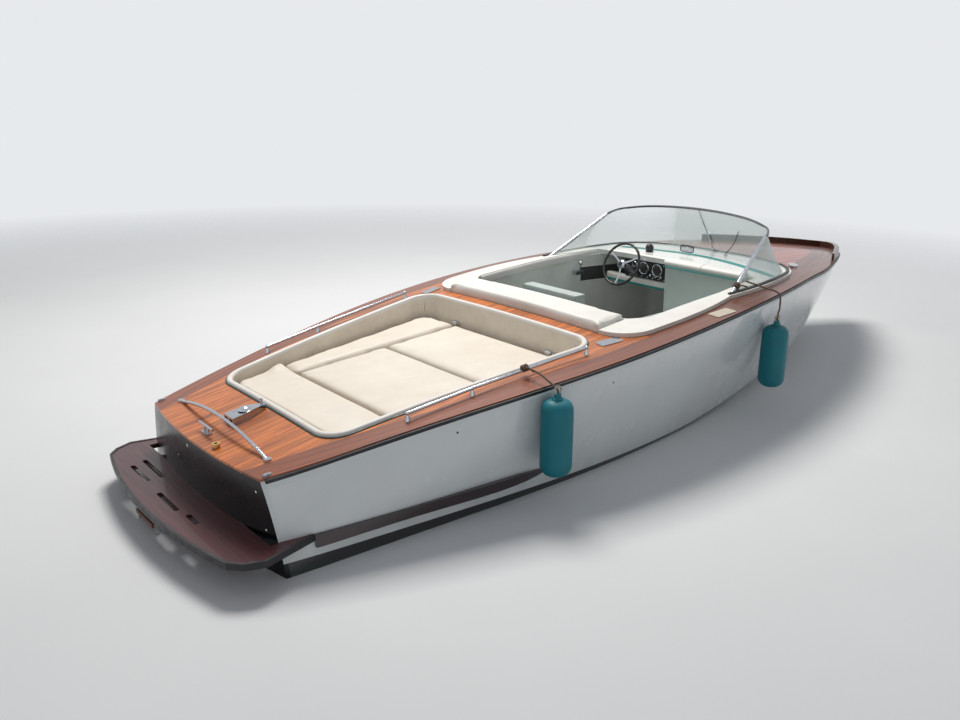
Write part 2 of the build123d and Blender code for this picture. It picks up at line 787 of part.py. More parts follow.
wheel_axis = Vector(-math.cos(math.radians(WHEEL_TILT)), 0, math.sin(math.radians(WHEEL_TILT)))
wheel_plane = Plane(origin=WHEEL_CENTRE, x_dir=(0, 1, 0), z_dir=wheel_axis)
wheel_centre = Vector(*WHEEL_CENTRE)
column_top = wheel_centre - wheel_axis * COLUMN_START
with BuildPart() as steering_column:
    add(rod(column_top - wheel_axis * COLUMN_LENGTH, column_top, COLUMN_RADIUS))
    add(
        rod(column_top - wheel_axis * SPINDLE_LENGTH, column_top, SPINDLE_RADIUS + PIN_CLEARANCE),
        mode=Mode.SUBTRACT,
    )
    add(block((PANEL_FACE, PANEL_FACE + 400), (0, 800), (500, 900)), mode=Mode.SUBTRACT)
write(steering_column.part, "steering_column")

with BuildPart(wheel_plane) as steering_wheel:
    Torus(WHEEL_RADIUS, RIM_RADIUS)
    with Locations((0, 0, HUB_TOP)):
        Cylinder(HUB_RADIUS, HUB_TOP + HUB_BOTTOM, align=(Align.CENTER, Align.CENTER, Align.MAX))
    with Locations((0, 0, -HUB_BOTTOM)):
        Cylinder(
            SPINDLE_RADIUS,
            COLUMN_START - HUB_BOTTOM + SPINDLE_LENGTH - 5,
            align=(Align.CENTER, Align.CENTER, Align.MAX),
        )
    with PolarLocations(WHEEL_RADIUS / 2, 3, start_angle=90):
        Box(WHEEL_RADIUS, SPOKE_WIDTH, SPOKE_THICKNESS)
write(steering_wheel.part, "steering_wheel")

with BuildPart() as throttle:
    add(block((3440, 3520), (706, 744), (688, 718)))
    add(rod((3480, 712, 705), (3470, 690, 780), 6))
    with Locations((3470, 690, 786)):
        Sphere(16)
    add(prism(grown(pit_inside, -SEAT_GAP)), mode=Mode.INTERSECT)
write(throttle.part, "throttle")

# Seats

seat_floor = PIT_FLOOR + SOLE_THICKNESS
with BuildPart() as helm_seat_base:
    add(block((2830, 3290), (95, 655), (seat_floor, 400)))
write(helm_seat_base.part, "helm_seat_base")

with BuildPart() as helm_seat:
    add(block((2905, 3300), (90, 660), (400.3, 490)))
    add(block((2790, 2900), (90, 660), (400.3, 742)))
write(helm_seat.part, "helm_seat")

with BuildPart() as passenger_seat_base:
    add(block((3260, 3712), (-670, -20), (seat_floor, 420)))
write(passenger_seat_base.part, "passenger_seat_base")

with BuildPart() as passenger_seat:
    add(block((3240, 3610), (-680, -15), (420.3, 505)))
    add(block((3612, 3712), (-680, -15), (420.3, 905)))
write(passenger_seat.part, "passenger_seat")

# Windscreen: clear wraparound glass, two posts, top trim and base gasket


def screen_band(places, plane, inset):
    """Thin closed band on a plane, from foot to foot round the front."""
    ring = mirrored(places)
    middle = (places[0][0] + places[-1][0]) / 2 - 200
    inner = []
    for x, y in ring:
        reach = math.hypot(x - middle, y)
        inner.append((x - (x - middle) / reach * inset, y - y / reach * inset))
    with BuildSketch(plane, mode=Mode.PRIVATE) as band:
        with BuildLine():
            arc_chain(ring)
            arc_chain(inner)
            Line(ring[0], inner[0])
            Line(ring[-1], inner[-1])
        make_face()
    return band.sketch


def screen_top(x, y):
    """Place on the sloping plane of the glass's top edge."""
    return (x, y, SCREEN_TOP_HEIGHT + (x - SCREEN_TOP_AFT) * top_slope)


top_slope = (SCREEN_CROWN_HEIGHT - SCREEN_TOP_HEIGHT) / SCREEN_TOP_LENGTH
top_plane = Plane(origin=screen_top(0, 0), x_dir=(1, 0, top_slope), z_dir=(-top_slope, 0, 1))
top_stretch = math.hypot(1, top_slope)
base_places = nose(SCREEN_FOOT, SCREEN_BASE_LENGTH, SCREEN_BASE_HALF, SCREEN_BASE_POWER)
top_places = [
    (x * top_stretch, y)
    for x, y in nose(SCREEN_TOP_AFT, SCREEN_TOP_LENGTH, SCREEN_TOP_HALF, SCREEN_TOP_POWER)
]
below_pads = deck_layer(-250, COAMING_RISE)
with BuildPart() as windscreen:
    loft(
        sections=[
            screen_band(base_places, Plane.XY.offset(SCREEN_BASE_HEIGHT), GLASS_THICKNESS),
            screen_band(top_places, top_plane, GLASS_THICKNESS),
        ],
        ruled=True,
    )
    add(below_pads, mode=Mode.SUBTRACT)
write(windscreen.part, "windscreen")

with BuildPart() as screen_trim:
    trim_places = [(x + TRIM_PROUD, y * 1.006) for x, y in top_places]
    add(screen_band(trim_places, top_plane.offset(-TRIM_DEPTH), TRIM_WIDTH))
    extrude(amount=TRIM_DEPTH + 5, dir=top_plane.z_dir)
    add(windscreen.part, mode=Mode.SUBTRACT)
write(screen_trim.part, "screen_trim")


def post_foot(side):
    return (SCREEN_FOOT - 12, side * (SCREEN_BASE_HALF - 3), SCREEN_BASE_HEIGHT)


def post_head(side):
    return screen_top(SCREEN_TOP_AFT - 10, side * (SCREEN_TOP_HALF - 3))


with BuildPart() as screen_posts:
    for side in (-1, 1):
        add(rod(post_foot(side), post_head(side), POST_RADIUS))
    add(windscreen.part, mode=Mode.SUBTRACT)
    add(screen_trim.part, mode=Mode.SUBTRACT)
    add(envelope, mode=Mode.SUBTRACT)
    add(side_pads.part, mode=Mode.SUBTRACT)
write(screen_posts.part, "screen_posts")

with BuildPart() as gasket_column:
    add(
        screen_band(
            nose(SCREEN_FOOT, SCREEN_BASE_LENGTH + 4, SCREEN_BASE_HALF + 4, SCREEN_BASE_POWER),
            Plane.XY.offset(700),
            GLASS_THICKNESS + 14,
        )
    )
    extrude(amount=400)
with BuildPart() as screen_gasket:
    add(deck_layer(COAMING_RISE, COAMING_RISE + 10))
    add(gasket_column.part, mode=Mode.INTERSECT)
    add(windscreen.part, mode=Mode.SUBTRACT)
    add(screen_posts.part, mode=Mode.SUBTRACT)
write(screen_gasket.part, "screen_gasket")

# Deck rails and fittings

with BuildPart() as stern_rail:
    with BuildLine() as arch:
        ThreePointArc(
            (ARCH_X, -ARCH_HALF, deck_height(ARCH_X, ARCH_HALF) - 4),
            (ARCH_X, 0, deck_height(ARCH_X) + ARCH_RISE),
            (ARCH_X, ARCH_HALF, deck_height(ARCH_X, ARCH_HALF) - 4),
        )
    with BuildSketch(Plane(origin=arch.line @ 0, z_dir=arch.line % 0)):
        Circle(RAIL_RADIUS)
    sweep(path=arch.line)
    for side in (-1, 1):
        foot = point(ARCH_X, side * ARCH_HALF, -6)
        add(rod(foot, foot + Vector(0, 0, 14), 19))
    add(envelope, mode=Mode.SUBTRACT)
write(stern_rail.part, "stern_rail")

with BuildPart() as side_rails:
    for side in (-1, 1):
        heads = [point(x, side * y, SIDE_RAIL_RISE) for x, y in SIDE_RAIL_FEET]
        for x, y in SIDE_RAIL_FEET:
            foot = point(x, side * y, -10)
            with BuildSketch(Plane.XY.offset(foot.Z)):
                with Locations((foot.X, foot.Y)):
                    Circle(17)
            extrude(amount=10 + SIDE_RAIL_RISE, taper=13)
        for start, end in zip(heads, heads[1:]):
            add(rod(start, end, RAIL_RADIUS))
        for head in heads:
            with Locations(head):
                Sphere(RAIL_RADIUS + 2)
    add(envelope, mode=Mode.SUBTRACT)
write(side_rails.part, "side_rails")

with BuildPart() as stern_vent:
    with BuildSketch(Plane.XY.offset(480)):
        with BuildLine():
            Polyline((135, -52), (240, -46), (340, -12), (340, 12), (240, 46), (135, 52), close=True)
        make_face()
    extrude(amount=70)
    add(deck_layer(42, 700), mode=Mode.SUBTRACT)
    add(envelope, mode=Mode.SUBTRACT)
    for y in (-27, 27):
        add(block((120, 215), (y - 18, y + 18), (495, 519)), mode=Mode.SUBTRACT)
    top = point(225, 0, 40)
    add(rod(top, top + Vector(0, 0, 9), 19))
    post = point(322, 0, 10)
    add(rod(post, post + Vector(0, 0, 52), 8))
write(stern_vent.part, "stern_vent")

with BuildPart() as stern_cleat:
    base = point(STERN_CLEAT_X, 0, -8)
    add(block((base.X - 16, base.X + 16), (-34, 34), (base.Z, base.Z + 14)))
    for y in (-20, 20):
        add(rod((base.X, y, base.Z + 8), (base.X, y, base.Z + 44), 7))
    add(rod((base.X, -78, base.Z + 46), (base.X, 78, base.Z + 46), 7))
    add(envelope, mode=Mode.SUBTRACT)
write(stern_cleat.part, "stern_cleat")

with BuildPart() as side_cleats:
    x, y = SIDE_CLEAT
    for side in (-1, 1):
        with BuildSketch(Plane.XY.offset(deck_height(x, y) - 15)):
            with Locations(Location((x, side * y), (0, 0, side * SIDE_CLEAT_TURN))):
                RectangleRounded(150, 70, 12)
        extrude(amount=60)
    add(deck_layer(6, 700), mode=Mode.SUBTRACT)
    add(envelope, mode=Mode.SUBTRACT)
write(side_cleats.part, "side_cleats")

with BuildPart() as bow_cleats:
    for side in (-1, 1):
        with BuildSketch(Plane.XY.offset(700)):
            with Locations(Location((BOW_CLEAT[0], side * BOW_CLEAT[1]), (0, 0, -side * 33))):
                Ellipse(74, 34)
        extrude(amount=400)
    add(deck_layer(14, 700), mode=Mode.SUBTRACT)
    add(envelope, mode=Mode.SUBTRACT)
write(bow_cleats.part, "bow_cleats")

with BuildPart() as step_pad:
    with BuildSketch(Plane.XY.offset(790)):
        with Locations(Location(STEP_PAD, (0, 0, -3))):
            RectangleRounded(180, 84, 8)
    extrude(amount=500)
    add(deck_layer(3, 900), mode=Mode.SUBTRACT)
    add(envelope, mode=Mode.SUBTRACT)
write(step_pad.part, "step_pad")

with BuildPart() as compass:
    seat = point(*COMPASS_PLACE, COAMING_RISE)
    add(rod(seat - Vector(0, 0, 8), seat + Vector(0, 0, 18), 30))
    with Locations(seat + Vector(0, 0, 36)):
        Sphere(33)
    add(below_pads, mode=Mode.SUBTRACT)
write(compass.part, "compass")

with BuildPart() as flag_socket:
    socket_top = Vector(SOCKET_X, SOCKET_Y, SOCKET_HIGH)
    add(rod((SOCKET_X, SOCKET_Y, SOCKET_LOW), socket_top, SOCKET_RADIUS))
    add(rod(socket_top - Vector(0, 0, 14), socket_top, SOCKET_RADIUS + 7))
    add(rod(socket_top - Vector(0, 0, SOCKET_DEPTH), socket_top, SOCKET_BORE), mode=Mode.SUBTRACT)
write(flag_socket.part, "flag_socket")

with BuildPart() as bow_eye:
    eye = Vector(*BOW_EYE)
    add(rod(eye - Vector(0, 7, 0), eye + Vector(0, 7, 0), EYE_BORE + 9))
    add(block((eye.X - 90, eye.X), (-7, 7), (eye.Z - 8, eye.Z + 8)))
    add(rod(eye - Vector(0, 20, 0), eye + Vector(0, 20, 0), EYE_BORE), mode=Mode.SUBTRACT)
    add(envelope, mode=Mode.SUBTRACT)
write(bow_eye.part, "bow_eye")

# Running gear

shaft_aft = Vector(*SHAFT_AFT)
shaft_dir = Vector(math.cos(math.radians(SHAFT_ANGLE)), 0, math.sin(math.radians(SHAFT_ANGLE)))
with BuildPart() as shaft_strut:
    hub = shaft_aft + shaft_dir * STRUT_PLACE
    add(rod(hub - shaft_dir * 45, hub + shaft_dir * 45, SHAFT_RADIUS + 12))
    add(block((hub.X - 35, hub.X + 35), (-6, 6), (hub.Z, -200)))
    add(rod(hub - shaft_dir * 90, hub + shaft_dir * 90, SHAFT_RADIUS + PIN_CLEARANCE), mode=Mode.SUBTRACT)
    add(envelope, mode=Mode.SUBTRACT)
write(shaft_strut.part, "shaft_strut")

with BuildPart() as propeller:
    add(rod(shaft_aft, shaft_aft + shaft_dir * SHAFT_LENGTH, SHAFT_RADIUS))
    add(rod(shaft_aft - shaft_dir * 20, shaft_aft + shaft_dir * 75, PROPELLER_HUB))
    for blade in range(3):
        angle = 120 * blade
        root = Plane(origin=shaft_aft + shaft_dir * 28, x_dir=(0, 1, 0), z_dir=shaft_dir)
        root = root.rotated((0, 0, angle))
        blade_plane = Plane(origin=root.origin, x_dir=root.z_dir, z_dir=-root.x_dir)
        with BuildSketch(blade_plane.rotated((0, BLADE_PITCH, 0))):
            with Locations((0, PROPELLER_RADIUS / 2 + 4)):
                Ellipse(52, PROPELLER_RADIUS / 2 - 4)
        extrude(amount=4, both=True)
write(propeller.part, "propeller")

with BuildPart() as rudder:
    with BuildSketch(Plane.XZ.offset(-7)) as rudder_profile:
        with BuildLine():
            Polyline((-95, -282), (78, -282), (86, -450), (58, -600), (-70, -600), (-110, -440), close=True)
        make_face()
        fillet(rudder_profile.vertices(), 18)
    extrude(amount=14)
    add(rod((RUDDER_X, 0, -590), (RUDDER_X, 0, 10), STOCK_RADIUS))
write(rudder.part, "rudder")

with BuildPart() as skeg:
    with BuildSketch(Plane.XZ.offset(-9)):
        with BuildLine():
            Polyline((1500, -250), (1540, -410), (2050, -410), (2500, -250), close=True)
        make_face()
    extrude(amount=18)
    add(envelope, mode=Mode.SUBTRACT)
write(skeg.part, "skeg")

# Fenders hung from the starboard rail and from the foot of the windscreen post

with BuildPart() as fenders:
    for x, y, top in (AFT_FENDER, FORE_FENDER):
        end = top - FENDER_LENGTH
        with BuildSketch(Plane.XZ.offset(-y)):
            with BuildLine():
                Polyline(
                    (x, top),
                    (x + 16, top),
                    (x + 22, top - 26),
                    (x + FENDER_RADIUS - 14, top - 52),
                    (x + FENDER_RADIUS, top - 84),
                    (x + FENDER_RADIUS, end + 84),
                    (x + FENDER_RADIUS - 14, end + 52),
                    (x + 22, end + 26),
                    (x + 16, end),
                    (x, end),
                    close=True,
                )
            make_face()
        revolve(axis=Axis((x, y, 0), (0, 0, 1)))
write(fenders.part, "fenders")

(rail_start_x, rail_start_y), (rail_end_x, rail_end_y) = SIDE_RAIL_FEET[1:]
rail_start = point(rail_start_x, -rail_start_y, SIDE_RAIL_RISE)
rail_end = point(rail_end_x, -rail_end_y, SIDE_RAIL_RISE)
aft_share = (AFT_TIE_X - rail_start_x) / (rail_end_x - rail_start_x)
aft_tie = rail_start + (rail_end - rail_start) * aft_share
aft_tie += Vector(0, 0, RAIL_RADIUS + LINE_RADIUS + SEAT_GAP)
fore_tie = Vector(*post_foot(-1)) * (1 - FORE_TIE_SHARE) + Vector(*post_head(-1)) * FORE_TIE_SHARE
fore_tie -= Vector(0, POST_RADIUS + LINE_RADIUS + 2 * SEAT_GAP, 0)
lines = (
    (Vector(*AFT_FENDER), Vector(*AFT_LINE_CORNER), aft_tie),
    (Vector(*FORE_FENDER), Vector(*FORE_LINE_CORNER), fore_tie),
)
with BuildPart() as fender_lines:
    for top, corner, tie in lines:
        for start, end in ((top, corner), (corner, tie)):
            add(rod(start, end, LINE_RADIUS))
        with Locations(corner):
            Sphere(LINE_RADIUS)
    add(fenders.part, mode=Mode.SUBTRACT)
write(fender_lines.part, "fender_lines")
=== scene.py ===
"""Looks of a varnished speedboat afloat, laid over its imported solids.

Metres, in the frame of the solids: +X forward, +Y to port, +Z up, and z = 0 on the water.
"""

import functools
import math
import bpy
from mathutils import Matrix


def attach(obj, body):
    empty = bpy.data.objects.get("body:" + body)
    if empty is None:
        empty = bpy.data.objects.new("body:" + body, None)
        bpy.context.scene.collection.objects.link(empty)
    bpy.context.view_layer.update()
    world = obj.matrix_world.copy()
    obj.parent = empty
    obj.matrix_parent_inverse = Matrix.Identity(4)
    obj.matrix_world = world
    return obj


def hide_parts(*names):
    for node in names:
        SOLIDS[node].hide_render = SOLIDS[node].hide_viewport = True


bl_info = {
    "name": "Varnished speedboat",
    "version": (1, 0, 0),
    "blender": (4, 5, 0),
    "location": "View3D > Sidebar > Speedboat",
    "description": "Dresses the solids of a varnished speedboat, piece by piece",
    "category": "Object",
}

import bmesh
import bpy
from mathutils import Matrix, Vector, noise
from mathutils.bvhtree import BVHTree

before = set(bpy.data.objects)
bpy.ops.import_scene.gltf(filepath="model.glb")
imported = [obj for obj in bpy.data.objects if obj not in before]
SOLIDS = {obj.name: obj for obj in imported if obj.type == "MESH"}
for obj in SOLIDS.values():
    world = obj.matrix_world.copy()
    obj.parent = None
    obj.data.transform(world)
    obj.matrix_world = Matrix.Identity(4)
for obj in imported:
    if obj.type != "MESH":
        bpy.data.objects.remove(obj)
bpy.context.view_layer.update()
UP = Vector((0, 0, 1))
PORT = Vector((0, 1, 0))
FORWARD = Vector((1, 0, 0))
# A radius that closes a turned shape on its axis, and a distance that joins doubled corners
SMALLEST = 0.00005
DOUBLED = 0.00001


def settings():
    """The sidebar's sizes and colours."""
    return bpy.context.scene.speedboat


# Meshes


def solid_tree(*names):
    """Search tree over the solids of these names."""
    vertices = []
    faces = []
    for name in names:
        mesh = SOLIDS[name].data
        start = len(vertices)
        vertices += [vertex.co.copy() for vertex in mesh.vertices]
        faces += [[start + index for index in face.vertices] for face in mesh.polygons]
    return BVHTree.FromPolygons(vertices, faces)


def height_on(tree, x, y, above=1.6):
    """Height of the first surface met from above."""
    return tree.ray_cast(Vector((x, y, above)), -UP)[0].z


def put(name, vertices, faces, finish_name, slot, body="boat", stands_for=(), crease=40):
    """A finished piece that rides on a body, and the solids that it stands for."""
    mesh = bpy.data.meshes.new(name)
    mesh.from_pydata([tuple(vertex) for vertex in vertices], [], faces)
    mesh.update()
    mesh.shade_smooth()
    if crease:
        mesh.set_sharp_from_angle(angle=math.radians(crease))
    mesh.materials.append(finish(finish_name))
    piece = bpy.data.objects.new(name, mesh)
    bpy.context.collection.objects.link(piece)
    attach(piece, body)
    if stands_for:
        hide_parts(*stands_for)
    return piece


def dress(finish_name, *names):
    """Gives solids a finish."""
    for name in names:
        mesh = SOLIDS[name].data
        mesh.materials.clear()
        mesh.materials.append(finish(finish_name))


def joined(parts):
    """Several (vertices, faces) as one."""
    vertices = []
    faces = []
    for more_vertices, more_faces in parts:
        start = len(vertices)
        vertices += more_vertices
        faces += [[start + index for index in face] for face in more_faces]
    return vertices, faces


def skin(rings, closed=False):
    """Surface through rings of points that all have the same count."""
    count = len(rings[0])
    vertices = [point for ring in rings for point in ring]
    faces = []
    spans = len(rings) if closed else len(rings) - 1
    for ring in range(spans):
        here = ring * count
        there = (ring + 1) % len(rings) * count
        for side in range(count):
            after = (side + 1) % count
            faces.append([here + side, here + after, there + after, there + side])
    if not closed:
        faces.append(list(range(count))[::-1])
        faces.append([(len(rings) - 1) * count + side for side in range(count)])
    return vertices, faces


def directions(path, closed=False):
    """Unit direction of the path at each of its points."""
    count = len(path)
    found = []
    for index in range(count):
        before = path[(index - 1) % count] if closed or index else path[index]
        after = path[(index + 1) % count] if closed or index < count - 1 else path[index]
        found.append((after - before).normalized())
    return found


def sweep(path, section, closed=False, up=UP, scales=None):
    """A section of (across, up) points run along a path without twist from its up direction."""
    rings = []
    for index, (place, along) in enumerate(zip(path, directions(path, closed))):
        across = along.cross(up).normalized()
        lift = across.cross(along)
        scale = scales[index] if scales else 1
        rings.append([place + (across * a + lift * b) * scale for a, b in section])
    return skin(rings, closed)


def circle(centre, across, lift, radius, sides):
    """Points round a circle that lies in the plane of two directions."""
    turns = [2 * math.pi * side / sides for side in range(sides)]
    return [centre + (across * math.cos(t) + lift * math.sin(t)) * radius for t in turns]


def tube(path, radius, sides=10, closed=False):
    """A round bar along a path. The radius is one size or one for each point."""
    ways = directions(path, closed)
    across = ways[0].orthogonal().normalized()
    rings = []
    for index, (place, along) in enumerate(zip(path, ways)):
        across = (across - along * across.dot(along)).normalized()
        lift = along.cross(across)
        size = radius[index] if isinstance(radius, (list, tuple)) else radius
        rings.append(circle(place, across, lift, size, sides))
    return skin(rings, closed)


def lathe(profile, centre, axis=UP, sides=32):
    """A profile of (radius, height) points turned about an axis."""
    axis = Vector(axis).normalized()
    across = axis.orthogonal().normalized()
    lift = axis.cross(across)
    rings = []
    for radius, height in profile:
        rings.append(circle(centre + axis * height, across, lift, max(radius, SMALLEST), sides))
    return skin(rings)


def slab(low, high, bevel=0.0015):
    """A block with softened edges."""
    work = bmesh.new()
    bmesh.ops.create_cube(work, size=1)
    size = Vector(high) - Vector(low)
    middle = (Vector(high) + Vector(low)) / 2
    for vertex in work.verts:
        vertex.co = Vector((vertex.co.x * size.x, vertex.co.y * size.y, vertex.co.z * size.z)) + middle
    bmesh.ops.bevel(work, geom=list(work.edges), offset=bevel, segments=2, affect="EDGES")
    parts = [vertex.co.copy() for vertex in work.verts], [[v.index for v in f.verts] for f in work.faces]
    work.free()
    return parts


def smooth_path(points, steps=8):
    """Smooth curve through points."""
    points = [Vector(point) for point in points]
    last = len(points) - 1
    path = []
    for index in range(last):
        a, b = points[max(index - 1, 0)], points[index]
        c, d = points[index + 1], points[min(index + 2, last)]
        for step in range(steps):
            t = step / steps
            bend = (2 * a - 5 * b + 4 * c - d) * t**2 + (3 * b - a - 3 * c + d) * t**3
            path.append((2 * b + (c - a) * t + bend) / 2)
    path.append(points[-1])
    return path


def fill_to(ring, end, spacing):
    """Adds even steps from the ring's last point towards an end."""
    last = ring[-1]
    gap = end - last
    cuts = max(int(gap.length / spacing), 1)
    ring += [last + gap * cut / cuts for cut in range(1, cuts)]


def rounded_ring(corners, radius, steps=10, spacing=0.05):
    """Closed plan path of (x, y) corners, each rounded with the same radius."""
    corners = [Vector(corner) for corner in corners]
    ring = []
    for index, corner in enumerate(corners):
        back = (corners[index - 1] - corner).normalized()
        on = (corners[(index + 1) % len(corners)] - corner).normalized()
        half = back.angle(on) / 2
        reach = radius / math.tan(half)
        middle = corner + (back + on).normalized() * radius / math.sin(half)
        start = corner + back * reach - middle
        end = corner + on * reach - middle
        sweep_angle = start.angle_signed(end)
        for step in range(steps + 1):
            turn = Matrix.Rotation(-sweep_angle * step / steps, 2)
            place = middle + turn @ start
            if ring and step == 0:
                fill_to(ring, place, spacing)
            ring.append(place)
    fill_to(ring, ring[0], spacing)
    return ring


def oval(width, height, sides=14, lean=0.0, power=1.0):
    """Oval section, flatter on its faces where the power is below one."""
    points = []
    for side in range(sides):
        turn = 2 * math.pi * side / sides + lean
        a = math.copysign(abs(math.cos(turn)) ** power, math.cos(turn))
        b = math.copysign(abs(math.sin(turn)) ** power, math.sin(turn))
        points.append((width / 2 * a, height / 2 * b))
    return points


# Finishes


class Finish:
    """A material's nodes, with short ways to add to them."""

    def __init__(self, name, **sockets):
        self.material = bpy.data.materials.new(name)
        self.material.use_nodes = True
        self.tree = self.material.node_tree
        self.shader = self.tree.nodes["Principled BSDF"]
        self.output = self.tree.nodes["Material Output"]
        self.place = self.add("TexCoord").outputs["Object"]
        for socket, value in sockets.items():
            self.feed(socket.replace("_", " "), value)

    def add(self, kind, feeds=None, **values):
        """One node, with what feeds its sockets."""
        made = self.tree.nodes.new("ShaderNode" + kind)
        for name, value in values.items():
            setattr(made, name, value)
        for socket, value in (feeds or {}).items():
            self.join(made.inputs[socket], value)
        return made

    def join(self, socket, value):
        """A value or another node's output into a socket."""
        if isinstance(value, bpy.types.NodeSocket):
            self.tree.links.new(value, socket)
        else:
            socket.default_value = value

    def feed(self, socket, value):
        """A value or another node's output into the shader."""
        if isinstance(value, (tuple, list)) and len(value) == 3:
            value = (*value, 1)
        self.join(self.shader.inputs[socket], value)

    def stretched(self, scale):
        """The frame's coordinates, scaled along each axis."""
        return self.add("Mapping", {"Vector": self.place, "Scale": scale}).outputs[0]

    def noise(self, scale, detail=3, rough=0.55, source=None, warp=0.0):
        """Cloudy noise between 0 and 1."""
        feeds = {"Scale": scale, "Detail": detail, "Roughness": rough, "Distortion": warp}
        return self.add("TexNoise", {"Vector": source or self.place, **feeds}).outputs[0]

    def cells(self, scale):
        """Distance to the middle of the nearest cell."""
        return self.add("TexVoronoi", {"Vector": self.place, "Scale": scale}).outputs[0]

    def ramp(self, source, *stops):
        """Colours or greys along a value, as (place, colour) stops."""
        made = self.add("ValToRGB", {"Fac": source})
        line = made.color_ramp
        while len(line.elements) < len(stops):
            line.elements.new(0.5)
        for element, (place, colour) in zip(line.elements, stops):
            element.position = place
            grey = not isinstance(colour, (tuple, list))
            element.color = (colour, colour, colour, 1) if grey else (*colour[:3], 1)
        return made.outputs[0]

    def mix(self, share, first, second, blend="MIX"):
        """Two colours mixed."""
        made = self.add("Mix", data_type="RGBA", blend_type=blend)
        for index, value in ((0, share), (6, first), (7, second)):
            if isinstance(value, (tuple, list)) and len(value) == 3:
                value = (*value, 1)
            self.join(made.inputs[index], value)
        return made.outputs[2]

    def sum(self, operation, first, second=0.0, clamp=False):
        """Two values through one operation."""
        made = self.add("Math", operation=operation, use_clamp=clamp)
        self.join(made.inputs[0], first)
        self.join(made.inputs[1], second)
        return made.outputs[0]

    def span(self, value, low, high, out_low=0.0, out_high=1.0):
        """A value carried from one range to another."""
        feeds = {"Value": value, "From Min": low, "From Max": high, "To Min": out_low, "To Max": out_high}
        return self.add("MapRange", feeds).outputs[0]

    def axes(self, names):
        """The frame's coordinates of these names."""
        parts = self.add("SeparateXYZ", {"Vector": self.place}).outputs
        return [parts[name] for name in names]

    def bump(self, height, strength, distance, under=None):
        """A normal bent by a height, over another normal if there is one."""
        feeds = {"Height": height, "Strength": strength, "Distance": distance}
        if under:
            feeds["Normal"] = under
        return self.add("Bump", feeds).outputs[0]

    def worn(self, scale, detail, low, high):
        """Roughness that drifts between two values."""
        self.feed("Roughness", self.ramp(self.noise(scale, detail), (0.3, low), (0.7, high)))

    def uneven(self, scale, detail, strength, distance):
        """Shader's normal bent by noise."""
        self.feed("Normal", self.bump(self.noise(scale, detail), strength, distance))

    def layered(self, share, first, second):
        """Two shaders mixed and led out of the material."""
        blend = self.add("MixShader", {0: share, 1: first.outputs[0], 2: second.outputs[0]})
        self.tree.links.new(blend.outputs[0], self.output.inputs["Surface"])

    def varied(self, colour, amount, scale, warmth=0.0):
        """A colour that drifts a little in brightness."""
        dark = tuple(c * (1 - amount) * (1 - warmth * k) for k, c in enumerate(colour[:3]))
        light = tuple(min(c * (1 + amount * 0.6), 1) for c in colour[:3])
        return self.ramp(self.noise(scale, 5, 0.6), (0.32, dark), (0.7, light))


# Half width of a plank's seam, and how far it fades out
SEAM_HALF = 0.0006
SEAM_SOFT = 0.0016


def plank_wood(name, light, dark, plank, gloss=0.32, across="y", edge_line=None, fore_sky_reflection=None):
    """Varnished planks with seams, each plank in its own tone, and an optional painted sky reflection
    forward.
    """
    wood = Finish(name, Coat_Weight=0.45, Coat_Roughness=0.08, Coat_IOR=1.4, Specular_IOR_Level=0.3)
    x, y = wood.axes("XY")
    run = y if across == "y" else x
    if edge_line:
        run = wood.sum("SUBTRACT", wood.sum("ABSOLUTE", y), edge_line(wood, x))
    lane = wood.sum("DIVIDE", run, plank)
    which = {"W": wood.sum("FLOOR", lane)}
    shade = wood.add("TexWhiteNoise", which, noise_dimensions="1D").outputs["Value"]
    if edge_line:
        feeds = {"X": wood.sum("MULTIPLY", x, 2.0), "Y": wood.sum("MULTIPLY", run, 70)}
        streak_place = wood.add("CombineXYZ", feeds).outputs[0]
    else:
        streak_place = wood.stretched((2.2, 60, 20) if across == "y" else (60, 2.2, 20))
    shifted = wood.add("VectorMath", operation="ADD")
    wood.join(shifted.inputs[0], streak_place)
    feeds = {"X": wood.sum("MULTIPLY", shade, 37.0), "Z": wood.sum("MULTIPLY", shade, 11.0)}
    wood.join(shifted.inputs[1], wood.add("CombineXYZ", feeds).outputs[0])
    streak = wood.noise(1.0, 6, 0.62, shifted.outputs[0], 0.3)
    pores = wood.noise(6.0, 3, 0.7, shifted.outputs[0])
    middle = tuple((a * 1.3 + b * 0.7) / 2 for a, b in zip(light, dark))
    body = wood.ramp(streak, (0.30, dark), (0.47, middle), (0.66, light))
    tint = wood.ramp(shade, (0.0, 0.48), (0.5, 0.85), (1.0, 1.0))
    body = wood.mix(0.75, body, tint, "MULTIPLY")
    body = wood.mix(0.5, body, wood.ramp(pores, (0.35, 0.55), (0.6, 1.0)), "MULTIPLY")
    patch = wood.ramp(wood.noise(1.1, 3), (0.3, 0.82), (0.7, 1.0))
    body = wood.mix(0.8, body, patch, "MULTIPLY")
    place_in = wood.sum("ABSOLUTE", wood.sum("SUBTRACT", wood.sum("FRACT", lane), 0.5))
    # Painted sky reflection: from x 1.5 to 3.4 the wood turns towards a bluish tint, the sky mirrored in the
    # varnish
    if fore_sky_reflection:
        body = wood.mix(wood.span(x, 1.5, 3.4), body, wood.mix(1.0, body, fore_sky_reflection, "MULTIPLY"))
    seam = wood.span(place_in, 0.5 - SEAM_SOFT / plank, 0.5 - SEAM_HALF / plank)
    body = wood.mix(wood.sum("MULTIPLY", seam, 0.8), body, tuple(c * 0.12 for c in dark))
    wood.feed("Base Color", body)
    wood.feed("Roughness", wood.ramp(streak, (0.3, gloss + 0.12), (0.7, gloss)))
    sunk = wood.mix(seam, wood.ramp(pores, (0.3, 0.8), (0.7, 1.0)), (0.0, 0.0, 0.0))
    wood.feed("Normal", wood.bump(sunk, 0.22, 0.0006))
    wood.feed("Coat Normal", wood.bump(wood.noise(9, 2), 0.05, 0.002))
    return wood.material


# Span and height that the tables of the hull's curves fit in
TABLE_LENGTH = 6.2
TABLE_TALL = 1.2
